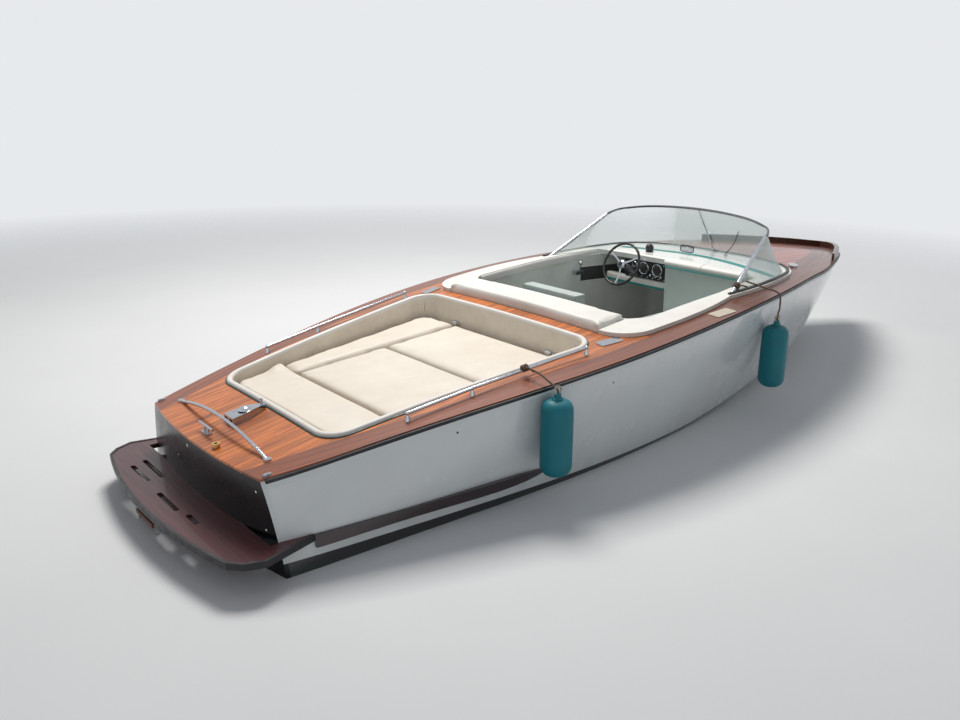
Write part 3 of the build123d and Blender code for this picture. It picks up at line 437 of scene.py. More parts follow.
# Height of the deck edge against x
SHEER = (
    (0.0, 0.460), (0.6, 0.552), (1.3, 0.647), (2.0, 0.724), (2.8, 0.792), (3.6, 0.830), (4.3, 0.836),
    (4.85, 0.818), (5.25, 0.793), (5.55, 0.766), (5.8, 0.739), (6.2, 0.692),
)
# Half breadth of the deck against x
DECK_EDGE = (
    (0.0, 0.623), (0.6, 0.803), (1.3, 0.965), (2.0, 1.075), (2.8, 1.091), (3.6, 1.012),
    (4.3, 0.868), (4.85, 0.698), (5.25, 0.535), (5.55, 0.393), (5.8, 0.25), (6.2, 0.0),
)
# Depth of the black strip on the rub rail
STRIP_DEPTH = 0.025


def along_hull(made_for, x, table):
    """A length that changes with x, as a curve through the table's places."""
    share = made_for.sum("DIVIDE", x, TABLE_LENGTH, True)
    made = made_for.add("FloatCurve", {"Value": share})
    curve = made.mapping.curves[0]
    for place, size in table[1:-1]:
        curve.points.new(place / TABLE_LENGTH, size / TABLE_TALL)
    for point, (place, size) in zip(curve.points, table):
        point.location = (place / TABLE_LENGTH, size / TABLE_TALL)
    made.mapping.update()
    return made_for.sum("MULTIPLY", made.outputs[0], TABLE_TALL)


def deck_edge(wood, x):
    """Half breadth of the deck at x."""
    return along_hull(wood, x, DECK_EDGE)


def vinyl(name, colour, grain, crumple, rough, dirt):
    """Soft vinyl with a fine pebbled grain, slow wrinkles and a little dirt."""
    skin_finish = Finish(name, Specular_IOR_Level=0.42)
    drift = skin_finish.varied(colour, 0.05, 3.0, 0.03)
    smudge = skin_finish.ramp(skin_finish.noise(7, 6, 0.65), (0.30, 1.0 - dirt), (0.55, 1.0))
    skin_finish.feed("Base Color", skin_finish.mix(1.0, drift, smudge, "MULTIPLY"))
    skin_finish.worn(4, 3, rough - 0.07, rough + 0.08)
    pebbles = skin_finish.cells(620)
    wrinkles = skin_finish.noise(5.5, 4, 0.5, warp=0.7)
    low = skin_finish.bump(wrinkles, crumple, 0.006)
    skin_finish.feed("Normal", skin_finish.bump(pebbles, grain * 0.25, 0.0005, low))
    return skin_finish.material


def rail_strip(name):
    """Black rubber along the deck edge, on a batten painted as the topsides."""
    made = Finish(name, Specular_IOR_Level=0.4)
    x, z = made.axes("XZ")
    black = made.ramp(made.noise(14, 5, 0.65), (0.38, (0.011, 0.011, 0.013)), (0.75, (0.033, 0.033, 0.036)))
    paint = made.varied(settings().topside_colour, 0.06, 1.2)
    height = made.sum("SUBTRACT", z, along_hull(made, x, SHEER))
    share = made.sum("LESS_THAN", height, -STRIP_DEPTH)
    made.feed("Base Color", made.mix(share, black, paint))
    made.worn(22, 4, 0.30, 0.50)
    made.uneven(300, 2, 0.10, 0.0006)
    return made.material


def transom_paint(name):
    """Black gloss across the transom, with the topsides' paint on its ends."""
    paint = Finish(name, Coat_Weight=0.12, Coat_Roughness=0.12, Specular_IOR_Level=0.25)
    stained = paint.ramp(paint.noise(3.5, 6, 0.6), (0.3, (0.003, 0.003, 0.004)), (0.6, (0.006, 0.006, 0.008)))
    normal = {"Vector": paint.add("NewGeometry").outputs["Normal"]}
    sideways = paint.sum("ABSOLUTE", paint.add("SeparateXYZ", normal).outputs["Y"])
    ends = paint.sum("GREATER_THAN", sideways, 0.75)
    dry = paint.sum("GREATER_THAN", paint.axes("Z")[0], settings().boot_top)
    topside = tuple(settings().topside_colour)
    paint.feed("Base Color", paint.mix(paint.sum("MULTIPLY", ends, dry), stained, topside))
    paint.worn(12, 4, 0.20, 0.32)
    paint.uneven(2, 2, 0.02, 0.002)
    return paint.material


def gloss_paint(name, colour, rough, dirt):
    """Sprayed paint or moulded gloss plastic."""
    paint = Finish(name, Coat_Weight=0.6, Coat_Roughness=0.08)
    stain = paint.ramp(paint.noise(3.5, 6, 0.6), (0.3, 1.0 - dirt), (0.6, 1.0))
    paint.feed("Base Color", paint.mix(1.0, paint.varied(colour, 0.04, 1.6), stain, "MULTIPLY"))
    paint.worn(12, 4, rough, rough + 0.1)
    paint.uneven(8, 3, 0.04, 0.002)
    return paint.material


def satin_black(name, colour, rough, grain=300.0):
    """Dull rubber or plastic, greyer where it is rubbed."""
    made = Finish(name, Specular_IOR_Level=0.4)
    rubbed = tuple(c * 1.9 + 0.012 for c in colour)
    made.feed("Base Color", made.ramp(made.noise(14, 5, 0.65), (0.38, colour), (0.75, rubbed)))
    made.worn(22, 4, rough - 0.1, rough + 0.15)
    made.uneven(grain, 2, 0.12, 0.0006)
    return made.material


def polished_metal(name, colour, rough=0.07, spots=0.5):
    """Chrome or bronze with fine scratches and a few dull spots."""
    metal = Finish(name, Metallic=1.0)
    dull = tuple(c * 0.78 for c in colour)
    metal.feed("Base Color", metal.ramp(metal.noise(35, 5, 0.7), (0.3, dull), (0.52, colour)))
    scratch = metal.noise(1.0, 4, 0.6, metal.stretched((40, 220, 220)))
    metal.feed("Roughness", metal.ramp(scratch, (0.35, rough), (0.75, rough + 0.14 * spots)))
    metal.feed("Normal", metal.bump(scratch, 0.05, 0.0004))
    return metal.material


# x where the boot stripe's two edges reach their forward height
BOOT_END = 2.7


def topside_paint(name):
    """Pale paint down to the boot stripe, and antifouling below it."""
    chosen = settings()
    paint = Finish(name, Coat_Weight=0.7, Coat_Roughness=0.06)
    x, z = paint.axes("XZ")
    cloud = paint.varied(chosen.topside_colour, 0.05, 1.2, 0.02)
    runs = paint.noise(1.0, 5, 0.6, paint.stretched((7, 7, 0.9)))
    stain = paint.ramp(runs, (0.30, (0.86, 0.86, 0.82)), (0.58, (1, 1, 1)))
    near_water = paint.span(z, 0.30, 0.05)
    stained = paint.mix(1.0, cloud, stain, "MULTIPLY")
    upper = paint.mix(paint.sum("MULTIPLY", near_water, 0.8), cloud, stained)
    wander = paint.span(paint.noise(9, 4), 0.3, 0.7, -0.004, 0.004)
    level = paint.sum("ADD", z, wander)
    top = paint.span(x, 0.0, BOOT_END, chosen.boot_top, 0.022)
    below_top = paint.sum("LESS_THAN", z, top)
    bottom = paint.span(x, 0.0, BOOT_END, chosen.boot_top - chosen.boot_width, -0.006)
    below_stripe = paint.sum("LESS_THAN", z, bottom)
    weedy = paint.sum("LESS_THAN", level, 0.004)
    fouling = paint.ramp(paint.noise(20, 6, 0.7), (0.3, (0.045, 0.06, 0.05)), (0.7, (0.09, 0.115, 0.10)))
    colour = paint.mix(below_top, upper, (0.012, 0.012, 0.016))
    colour = paint.mix(below_stripe, colour, (0.020, 0.026, 0.024))
    colour = paint.mix(weedy, colour, fouling)
    paint.feed("Base Color", colour)
    paint.worn(6, 4, 0.18, 0.30)
    paint.uneven(2.4, 2, 0.10, 0.006)
    return paint.material


def carpet(name, colour):
    """Short looped carpet."""
    made = Finish(name, Roughness=0.95, Sheen_Weight=0.3, Sheen_Roughness=0.5)
    loops = made.cells(260)
    shade = made.ramp(loops, (0, 0.5), (0.6, 1.0))
    made.feed("Base Color", made.mix(0.6, made.varied(colour, 0.25, 30), shade, "MULTIPLY"))
    made.feed("Normal", made.bump(loops, 0.7, 0.003))
    return made.material


def screen_glass(name):
    """Clear acrylic with a faint grey tint, salt spots and an edge that mirrors."""
    made = Finish(name, Roughness=0.03, Specular_IOR_Level=0.5)
    made.feed("Base Color", (0.75, 0.80, 0.80))
    haze = made.ramp(made.noise(3.0, 5, 0.6), (0.35, 0.008), (0.75, 0.030))
    rim = made.add("LayerWeight", {"Blend": 0.22}).outputs["Fresnel"]
    share = made.sum("ADD", made.sum("MULTIPLY", rim, 0.5), haze, True)
    clear = made.add("BsdfTransparent", {"Color": (0.97, 0.985, 0.98, 1)})
    made.layered(share, clear, made.shader)
    return made.material


def rope(name, colour):
    """Laid fibre rope."""
    made = Finish(name, Roughness=0.85, Sheen_Weight=0.25)
    fibres = made.noise(700, 3, 0.7)
    dirty = made.ramp(made.noise(30, 4), (0.3, tuple(c * 0.5 for c in colour)), (0.65, colour))
    made.feed("Base Color", made.mix(0.5, dirty, made.ramp(fibres, (0.3, 0.5), (0.7, 1.0)), "MULTIPLY"))
    made.feed("Normal", made.bump(fibres, 0.5, 0.0008))
    return made.material


# Distance between the step pad's squares
SQUARE_PITCH = 0.008


def ribbed_pad(name, colour):
    """Moulded non-slip rubber with raised squares."""
    made = Finish(name, Roughness=0.8)
    waves = []
    for axis in made.axes("XY"):
        waves.append(made.sum("SINE", made.sum("MULTIPLY", axis, 2 * math.pi / SQUARE_PITCH)))
    squares = made.span(made.sum("MINIMUM", waves[0], waves[1]), -0.3, 0.3)
    shade = made.ramp(squares, (0, 0.7), (1, 1.0))
    made.feed("Base Color", made.mix(0.35, made.varied(colour, 0.1, 25), shade, "MULTIPLY"))
    made.feed("Normal", made.bump(squares, 0.6, 0.001))
    return made.material


# Distances between which the floor fades out
FLOOR_FADE = (6.0, 12.5)


def studio_floor(name):
    """Pale floor that fades into the background away from the boat."""
    made = Finish(name, Roughness=0.75, Specular_IOR_Level=0.2)
    pale = made.ramp(made.noise(0.7, 3), (0.3, (0.72, 0.73, 0.74)), (0.7, (0.75, 0.76, 0.77)))
    made.feed("Base Color", pale)
    made.uneven(260, 2, 0.03, 0.001)
    away = made.add("VectorMath", {"Vector": made.place}, operation="LENGTH").outputs["Value"]
    fade = made.span(away, *FLOOR_FADE)
    made.layered(fade, made.shader, made.add("BsdfTransparent"))
    return made.material


# Painted shade: the recess lining is the pads' vinyl darkened by these shares, as the walls stand in shade
# beside the lit pads
WALL_PAINTED_SHADE = (0.96, 0.96, 0.95)


def finishes():
    """Maker and values of each finish, by its name."""
    chosen = settings()
    planks = tuple(chosen.plank_colour)
    boards = tuple(chosen.board_colour)
    cream = tuple(chosen.pad_colour)
    # The lining's colour is the pads' cream with painted shade
    wall = tuple(c * k for c, k in zip(cream, WALL_PAINTED_SHADE))
    return {
        "topsides": (topside_paint,),
        "transom gloss": (transom_paint,),
        "strake gloss": (gloss_paint, (0.030, 0.014, 0.018), 0.16, 0.3),
        "deck planks": (plank_wood, planks, (0.40, 0.075, 0.016), chosen.plank_width),
        # The foredeck's planks are the deck's wood in a pink-mauve tint: painted sky reflection on the
        # varnish
        "foredeck planks": (plank_wood, (0.52, 0.17, 0.13), (0.24, 0.065, 0.055), chosen.plank_width),
        # The covering boards' last colour is a bluish painted sky reflection on their forward part
        "covering boards": (
            plank_wood, boards, (0.19, 0.036, 0.014), 0.105, 0.3, "y", deck_edge, (0.52, 0.62, 0.95)
        ),
        "rail wood": (plank_wood, (0.13, 0.042, 0.026), (0.035, 0.012, 0.009), 0.4),
        # The platform's dark purple-maroon is the wood's colour with painted shade and painted sky reflection
        # in it
        "platform wood": (plank_wood, (0.16, 0.042, 0.048), (0.055, 0.014, 0.020), 0.09, 0.3, "x"),
        "tread wood": (plank_wood, (0.42, 0.16, 0.08), (0.2, 0.06, 0.03), 0.3, 0.4, "x"),
        "hatch board": (plank_wood, (0.46, 0.33, 0.20), (0.30, 0.20, 0.11), 0.6, 0.6),
        "rubber": (satin_black, (0.013, 0.013, 0.015), 0.42),
        "black plastic": (satin_black, (0.010, 0.010, 0.011), 0.35, 500),
        "wheel rim": (satin_black, (0.016, 0.014, 0.014), 0.28, 200),
        "pad vinyl": (vinyl, cream, 0.5, 0.45, 0.50, 0.06),
        "wall vinyl": (vinyl, wall, 0.5, 0.6, 0.5, 0.10),
        "coaming vinyl": (vinyl, tuple(chosen.vinyl_colour), 0.4, 0.35, 0.44, 0.05),
        "roll vinyl": (vinyl, (0.84, 0.83, 0.80), 0.4, 0.5, 0.42, 0.05),
        "seat vinyl": (vinyl, (0.50, 0.58, 0.56), 0.4, 0.6, 0.42, 0.08),
        "lining": (vinyl, (0.76, 0.79, 0.76), 0.4, 0.8, 0.5, 0.10),
        "pocket lining": (vinyl, (0.05, 0.055, 0.055), 0.4, 0.4, 0.6, 0.2),
        "piping": (satin_black, (0.20, 0.15, 0.11), 0.55),
        "teal trim": (vinyl, tuple(chosen.teal_colour), 0.4, 0.2, 0.42, 0.1),
        "dark teal trim": (satin_black, (0.016, 0.060, 0.062), 0.4),
        "fender plastic": (vinyl, (0.0, 0.165, 0.21), 0.3, 0.15, 0.5, 0.12),
        "dash gloss": (gloss_paint, (0.80, 0.815, 0.79), 0.24, 0.05),
        "dial face": (gloss_paint, (0.012, 0.012, 0.013), 0.3, 0.2),
        "dial marks": (gloss_paint, (0.78, 0.78, 0.74), 0.4, 0.1),
        "needle": (gloss_paint, (0.75, 0.20, 0.05), 0.4, 0.1),
        "chrome": (polished_metal, (0.47, 0.49, 0.53)),
        "trim metal": (polished_metal, (0.16, 0.16, 0.17), 0.22),
        "rail strip": (rail_strip,),
        "steel": (polished_metal, (0.58, 0.59, 0.60), 0.26, 1.0),
        "bronze": (polished_metal, (0.60, 0.40, 0.17), 0.28, 1.0),
        "engine paint": (gloss_paint, (0.10, 0.12, 0.13), 0.4, 0.3),
        "sole carpet": (carpet, (0.055, 0.058, 0.06)),
        "glass": (screen_glass,),
        "step pad": (ribbed_pad, (0.62, 0.55, 0.45)),
        "pale rope": (rope, (0.62, 0.55, 0.44)),
        "brown rope": (rope, (0.20, 0.13, 0.085)),
        "studio floor": (studio_floor,),
    }


MADE = {}


def finish(name):
    """The material of that finish, made once."""
    if name not in MADE:
        maker, *values = finishes()[name]
        MADE[name] = maker(name, *values)
    return MADE[name]


# Soft pieces


def loose_parts(mesh):
    """The mesh's separate closed shells, each as (vertices, faces)."""
    work = bmesh.new()
    work.from_mesh(mesh)
    bmesh.ops.remove_doubles(work, verts=work.verts, dist=DOUBLED)
    work.verts.index_update()
    seen = set()
    shells = []
    for start in work.verts:
        if start.index in seen:
            continue
        stack = [start]
        shell = []
        seen.add(start.index)
        while stack:
            vertex = stack.pop()
            shell.append(vertex)
            for edge in vertex.link_edges:
                other = edge.other_vert(vertex)
                if other.index not in seen:
                    seen.add(other.index)
                    stack.append(other)
        order = {vertex.index: place for place, vertex in enumerate(shell)}
        faces = {face for vertex in shell for face in vertex.link_faces}
        faces = sorted(faces, key=lambda face: face.index)
        shells.append(
            ([vertex.co.copy() for vertex in shell], [[order[v.index] for v in face.verts] for face in faces])
        )
    work.free()
    return shells


def baked(holder):
    """The object's mesh with its modifiers, as a new mesh."""
    bpy.context.view_layer.update()
    graph = bpy.context.evaluated_depsgraph_get()
    return bpy.data.meshes.new_from_object(holder.evaluated_get(graph))


# Steps of the cloth solver
SOFT_STEPS = 20


def cushion(shell, voxel, swell, shrink, pressure):
    """One padded shell: remeshed, drawn in, blown up by the cloth solver with its foot held."""
    mesh = bpy.data.meshes.new("cushion")
    mesh.from_pydata([tuple(vertex) for vertex in shell[0]], [], shell[1])
    holder = bpy.data.objects.new("cushion", mesh)
    bpy.context.collection.objects.link(holder)
    remesh = holder.modifiers.new("remesh", "REMESH")
    remesh.mode = "VOXEL"
    remesh.voxel_size = voxel
    even = holder.modifiers.new("even", "SMOOTH")
    even.factor = 0.5
    even.iterations = 5
    holder.data = baked(holder)
    holder.modifiers.clear()
    mesh = holder.data
    normals = [vertex.normal.copy() for vertex in mesh.vertices]
    for vertex, normal in zip(mesh.vertices, normals):
        vertex.co -= normal * shrink
    mesh.update()
    start = [vertex.co.copy() for vertex in mesh.vertices]
    foot = holder.vertex_groups.new(name="foot")
    foot.add([index for index, normal in enumerate(normals) if normal.z < -0.7], 1.0, "REPLACE")
    cloth = holder.modifiers.new("cloth", "CLOTH")
    cloth.settings.vertex_group_mass = "foot"
    cloth.settings.use_pressure = True
    cloth.settings.uniform_pressure_force = pressure
    cloth.settings.tension_stiffness = 12
    cloth.settings.bending_stiffness = 0.6
    cloth.settings.effector_weights.gravity = 0
    cloth.settings.quality = 4
    for step in range(1, SOFT_STEPS + 1):
        bpy.context.scene.frame_set(step)
    blown = baked(holder)
    holder.modifiers.clear()
    for vertex, place, puffed in zip(mesh.vertices, start, blown.vertices):
        move = puffed.co - place
        vertex.co = place + move * min(1, swell / max(move.length, 1e-9))
    bpy.context.scene.frame_set(1)
    calm = holder.modifiers.new("calm", "SMOOTH")
    calm.iterations = 2
    finer = holder.modifiers.new("finer", "SUBSURF")
    finer.levels = 1
    result = baked(holder)
    faces = [list(face.vertices) for face in result.polygons]
    bpy.data.objects.remove(holder)
    return [vertex.co.copy() for vertex in result.vertices], faces


def upholster(
    name, source, finish_name, slot, voxel, swell,
    shrink=0.003, pressure=4.0, body="boat", shape=None,
):
    """A padded piece in place of a soft solid, puffed shell by shell."""
    shells = [cushion(shell, voxel, swell, shrink, pressure) for shell in loose_parts(SOLIDS[source].data)]
    vertices, faces = joined(shells)
    if shape:
        vertices = [shape(vertex) for vertex in vertices]
    piece = put(name, vertices, faces, finish_name, slot, body, (source,), 0)
    return piece


# Studio

# The photograph's camera: place, turn to port from +X, tilt down and lens
CAMERA_PLACE = Vector((-1.504, -3.921, 2.134))
CAMERA_YAW = 0.867021
CAMERA_PITCH = 0.311172
CAMERA_LENS = 31.87


# Lamps: name, place, target, size, the setting that gives its power, its share of that, colour
LAMPS = (
    ("key", (3.6, 3.0, 8.0), (2.2, 0, 0.4), 3.2, "key_power", 1.0, (1, 0.97, 0.93)),
    ("side", (-3.0, -7.0, 3.2), (2.6, -0.6, 0.4), 5.0, "side_power", 1.0, (0.93, 0.96, 1)),
    ("stern", (-6.0, 2.5, 4.0), (1.0, 0, 0.4), 4.0, "side_power", 0.5, (1, 1, 1)),
)
SKY = (0.90, 0.94, 1.0)
BACKGROUND = (0.80, 0.82, 0.84)


def lamp(name, place, target, size, power, tone):
    """A square soft lamp aimed at a place."""
    data = bpy.data.lights.new(name, "AREA")
    data.size = size
    data.energy = power
    data.color = tone
    lamp_object = bpy.data.objects.new(name, data)
    lamp_object.location = place
    lamp_object.rotation_euler = (Vector(target) - Vector(place)).to_track_quat("-Z", "Y").to_euler()
    bpy.context.collection.objects.link(lamp_object)


def make_camera():
    """The camera at the photograph's place."""
    ahead = Vector(
        (
            math.cos(CAMERA_YAW) * math.cos(CAMERA_PITCH),
            math.sin(CAMERA_YAW) * math.cos(CAMERA_PITCH),
            -math.sin(CAMERA_PITCH),
        )
    )
    right = Vector((math.sin(CAMERA_YAW), -math.cos(CAMERA_YAW), 0))
    data = bpy.data.cameras.new("camera")
    data.lens = CAMERA_LENS
    data.sensor_width = 36
    data.clip_end = 200
    camera = bpy.data.objects.new("camera", data)
    turn = Matrix((right, right.cross(ahead), -ahead)).transposed()
    camera.matrix_world = Matrix.Translation(CAMERA_PLACE) @ turn.to_4x4()
    bpy.context.collection.objects.link(camera)
    bpy.context.scene.camera = camera


def make_world(strength):
    """Soft sky for the light, and a pale background for the camera, metal and glass."""
    world = bpy.data.worlds.new("studio")
    world.use_nodes = True
    nodes, links = world.node_tree.nodes, world.node_tree.links
    light = nodes["Background"]
    light.inputs["Color"].default_value = (*SKY, 1)
    light.inputs["Strength"].default_value = strength
    seen = nodes.new("ShaderNodeBackground")
    seen.inputs["Color"].default_value = (*BACKGROUND, 1)
    path = nodes.new("ShaderNodeLightPath")
    share = path.outputs["Is Camera Ray"]
    for ray in ("Is Glossy Ray", "Is Transmission Ray"):
        either = nodes.new("ShaderNodeMath")
        either.operation = "MAXIMUM"
        links.new(share, either.inputs[0])
        links.new(path.outputs[ray], either.inputs[1])
        share = either.outputs[0]
    mixed = nodes.new("ShaderNodeMixShader")
    links.new(share, mixed.inputs[0])
    links.new(light.outputs[0], mixed.inputs[1])
    links.new(seen.outputs[0], mixed.inputs[2])
    links.new(mixed.outputs[0], nodes["World Output"].inputs["Surface"])
    bpy.context.scene.world = world


# Half width of the floor, and the hole in it under the boat
FLOOR_REACH = 18.0
FLOOR_HOLE = ((0.40, -0.55), (2.10, -0.55), (2.10, 0.55), (0.40, 0.55))


class SPEEDBOAT_OT_stage(bpy.types.Operator):
    """Set up the pale floor, the soft lamps, the sky and the camera"""

    bl_idname = "speedboat.stage"
    bl_label = "Studio"

    def execute(self, context):
        chosen = settings()
        outer = [(x * FLOOR_REACH, y * FLOOR_REACH) for x, y in ((-1, -1), (1, -1), (1, 1), (-1, 1))]
        corners = [Vector((x, y, 0)) for x, y in outer + list(FLOOR_HOLE)]
        mesh = bpy.data.meshes.new("floor")
        sides = [[k, (k + 1) % 4, 4 + (k + 1) % 4, 4 + k] for k in range(4)]
        mesh.from_pydata([tuple(corner) for corner in corners], [], sides)
        mesh.materials.append(finish("studio floor"))
        floor = bpy.data.objects.new("floor", mesh)
        context.collection.objects.link(floor)
        for name, place, target, size, setting, share, tone in LAMPS:
            lamp(name, place, target, size, getattr(chosen, setting) * share, tone)
        make_world(chosen.sky_strength)
        make_camera()
        context.scene.view_settings.view_transform = "Standard"
        return {"FINISHED"}


# Hull

SIDES = ((-1, "starboard"), (1, "port"))
# Plugs, a scupper and screws on each side: x, height, radius, finish
TOPSIDE_MARKS = (
    (0.93, 0.505, 0.006, "rubber"),
    (1.90, 0.590, 0.006, "rubber"),
    (3.28, 0.700, 0.006, "rubber"),
    (1.66, 0.110, 0.020, "chrome"),
    (1.74, 0.545, 0.004, "dial marks"),
)
# The same on the transom: y, height, radius, finish; the pale dot is a painted reflection
TRANSOM_MARKS = (
    (-0.600, 0.380, 0.007, "steel"),
    (-0.655, 0.205, 0.007, "steel"),
    # Painted reflection: a pale dot standing for a white reflection in the black gloss
    (0.060, 0.405, 0.009, "dial marks"),
    (0.215, 0.300, 0.004, "steel"),
)


def button(hit, radius, shoulder, rise):
    """A small turned head at the place and along the normal that a ray hit."""
    profile = ((0.0, rise), (radius * shoulder, rise), (radius, 0.0), (radius, -0.004))
    return lathe(profile, hit[0], hit[1], 20)


class SPEEDBOAT_OT_hull(bpy.types.Operator):
    """Paint the hull and fit its small plugs, scuppers and screws"""

    bl_idname = "speedboat.hull"
    bl_label = "Hull"

    def execute(self, context):
        dress("topsides", "hull", "skeg")
        dress("transom gloss", "transom")
        dress("strake gloss", "spray_rails")
        hull = solid_tree("hull")
        for index, (x, z, radius, finish_name) in enumerate(TOPSIDE_MARKS):
            for side, label in SIDES:
                hit = hull.ray_cast(Vector((x, side * 2, z)), Vector((0, -side, 0)))
                put(f"topside_mark_{index}_{label}", *button(hit, radius, 0.7, 0.0015), finish_name, "chrome")
        transom = solid_tree("transom")
        for index, (y, z, radius, finish_name) in enumerate(TRANSOM_MARKS):
            hit = transom.ray_cast(Vector((-1, y, z)), FORWARD)
            put(f"transom_mark_{index}", *button(hit, radius, 0.6, 0.002), finish_name, "steel")
        return {"FINISHED"}


class SPEEDBOAT_OT_decks(bpy.types.Operator):
    """Varnish the planked decks, the covering boards and the toe rail"""

    bl_idname = "speedboat.decks"
    bl_label = "Decks"

    def execute(self, context):
        dress("deck planks", "aft_deck")
        dress("foredeck planks", "foredeck")
        dress("covering boards", "covering_boards")
        dress("rail wood", "toe_rail")
        return {"FINISHED"}


# The rub rail's end caps: ends along x, foot and top, distance from the middle and half width
CAP_ENDS = (0.003, 0.050)
CAP_LEVELS = (0.425, 0.471)
CAP_OUT = 0.634
CAP_HALF = 0.012


class SPEEDBOAT_OT_rub_rail(bpy.types.Operator):
    """Fit the black rub rail with its chrome end caps"""

    bl_idname = "speedboat.rub_rail"
    bl_label = "Rub rail"

    def execute(self, context):
        dress("rail strip", "rub_rail")
        for side, label in SIDES:
            low = Vector((CAP_ENDS[0], side * CAP_OUT - CAP_HALF, CAP_LEVELS[0]))
            high = Vector((CAP_ENDS[1], side * CAP_OUT + CAP_HALF, CAP_LEVELS[1]))
            put(f"rail_cap_{label}", *slab(low, high, 0.005), "chrome", "chrome")
        return {"FINISHED"}


class SPEEDBOAT_OT_platform(bpy.types.Operator):
    """Varnish the swim platform and fit its rubber edge, brackets and ladder"""

    bl_idname = "speedboat.platform"
    bl_label = "Swim platform"

    def execute(self, context):
        dress("platform wood", "swim_platform")
        dress("rubber", "platform_edge")
        dress("steel", "platform_brackets", "ladder_hinge", "ladder_rails")
        dress("tread wood", "ladder_treads")
        return {"FINISHED"}


# Recess and sun pads

RECESS_CORNERS = ((0.373, -0.593), (2.012, -0.813), (2.012, 0.813), (0.373, 0.593))
RECESS_ROUNDING = 0.137
RECESS_MIDDLE = Vector((1.25, 0))
ROLL_SECTION = (
    (-0.0165, -0.012), (-0.0175, 0.000), (-0.0155, 0.008), (-0.010, 0.0135), (0.000, 0.0155),
    (0.009, 0.0135), (0.0145, 0.008), (0.0165, 0.000), (0.0165, -0.012),
)
# Edge of the trim: its distance from the recess's corners, and its rounding
TRIM_OUT = 0.020
TRIM_ROUNDING = 0.155
# Ring that the row of snaps follows, its rounding, the snaps' spacing and their drop below the deck
SNAP_CORNERS = ((0.39, -0.576), (1.995, -0.796), (1.995, 0.796), (0.39, 0.576))
SNAP_ROUNDING = 0.12
SNAP_SPACING = 0.235
SNAP_DROP = 0.045
SNAP_HEAD = ((0.0, 0.0035), (0.0035, 0.003), (0.0055, 0.001), (0.006, -0.001))
# Height of the pads' top at the aft and at the fore end
PAD_LEVEL = (0.500, 0.606)


@functools.cache
def deck_tree():
    """Search tree over the deck's surfaces."""
    return solid_tree("aft_deck", "covering_boards", "foredeck", "hull")


class SPEEDBOAT_OT_recess(bpy.types.Operator):
    """Line the sun pad recess and roll vinyl over its rim"""

    bl_idname = "speedboat.recess"
    bl_label = "Recess"

    def execute(self, context):
        dress("wall vinyl", "recess_liner")
        rim = solid_tree("recess_rim", "aft_deck", "covering_boards")
        plan = rounded_ring(RECESS_CORNERS, RECESS_ROUNDING, 12, 0.04)
        ring = [Vector((p.x, p.y, height_on(rim, p.x, p.y) - 0.012)) for p in plan]
        if (ring[1] - ring[0]).cross(UP).dot(ring[0] - RECESS_MIDDLE.to_3d()) < 0:
            ring = ring[::-1]
        roll = sweep(ring, ROLL_SECTION, True)
        put("recess_roll", *roll, "roll vinyl", "white_vinyl", stands_for=("recess_rim",))
        corners = [
            (x + math.copysign(TRIM_OUT, x - RECESS_MIDDLE.x), y + math.copysign(TRIM_OUT, y))
            for x, y in RECESS_CORNERS
        ]
        plan = rounded_ring(corners, TRIM_ROUNDING, 12, 0.04)
        edge = [Vector((p.x, p.y, height_on(deck_tree(), p.x, p.y) + 0.0025)) for p in plan]
        put("recess_trim", *tube(edge, 0.0042, 8, True), "dark teal trim", "teal_vinyl")
        liner = solid_tree("recess_liner")
        self.snaps(liner)
        self.seams(liner)
        return {"FINISHED"}

    def snaps(self, liner):
        """Snap heads in a row below the rim."""
        parts = []
        for spot in rounded_ring(SNAP_CORNERS, SNAP_ROUNDING, 4, SNAP_SPACING):
            away = spot - RECESS_MIDDLE
            top = height_on(deck_tree(), *(spot + away.normalized() * 0.09)) - SNAP_DROP
            out = Vector((away.x, away.y, 0))
            start = Vector((spot.x, spot.y, top)) - out.normalized() * 0.12
            place, normal = liner.ray_cast(start, out.normalized())[:2]
            if place is not None:
                parts.append(lathe(SNAP_HEAD, place, normal, 16))
        put("recess_snaps", *joined(parts), "steel", "steel")

    def seams(self, liner):
        """The lining's seams at its four corners."""
        parts = []
        for x, y in RECESS_CORNERS:
            out = Vector((x - RECESS_MIDDLE.x, y, 0)).normalized()
            low = PAD_LEVEL[0] + (PAD_LEVEL[1] - PAD_LEVEL[0]) * (x > RECESS_MIDDLE.x)
            high = height_on(deck_tree(), x + out.x * 0.06, y + out.y * 0.06) - 0.03
            spots = []
            for share in (0.25, 0.5, 0.75):
                start = Vector((RECESS_MIDDLE.x, 0, low + (high - low) * share))
                spots.append(liner.ray_cast(start, out)[0] - out * 0.0008)
            parts.append(tube(spots, 0.0016, 6))
        put("recess_seams", *joined(parts), "piping", "tan_line")


# Place and height of the aft pad's lifted corner
PUCKER = Vector((0.70, 0.575))
PUCKER_RISE = 0.022
# The seam between the aft pad and the next one
PAD_SPLIT = 0.762
# Height at x = 0 over which a pad's points are its top, and how fast that rises forward
SHOULDER = 0.44
SHOULDER_RISE = 0.045


def pad_shape(place):
    """The pads' slow unevenness, and the lifted corner of the aft pad."""
    swell = noise.noise(Vector((place.x * 3.1, place.y * 3.1, 4.0)))
    crease = noise.noise(Vector((place.x * 9, place.y * 9, 9.0)))
    top = 1.0 if place.z > SHOULDER + SHOULDER_RISE * place.x else 0.0
    lift = 0.0018 * swell + 0.0008 * crease
    if place.x < PAD_SPLIT:
        away = Vector((place.x, place.y)) - PUCKER
        fold = math.exp(-((away.length / 0.075) ** 2))
        ripple = 0.5 + 0.5 * math.sin(math.atan2(away.y, away.x) * 5)
        lift += PUCKER_RISE * fold + 0.004 * ripple * math.exp(-((away.length / 0.16) ** 2))
    return place + Vector((0, 0, lift * top))


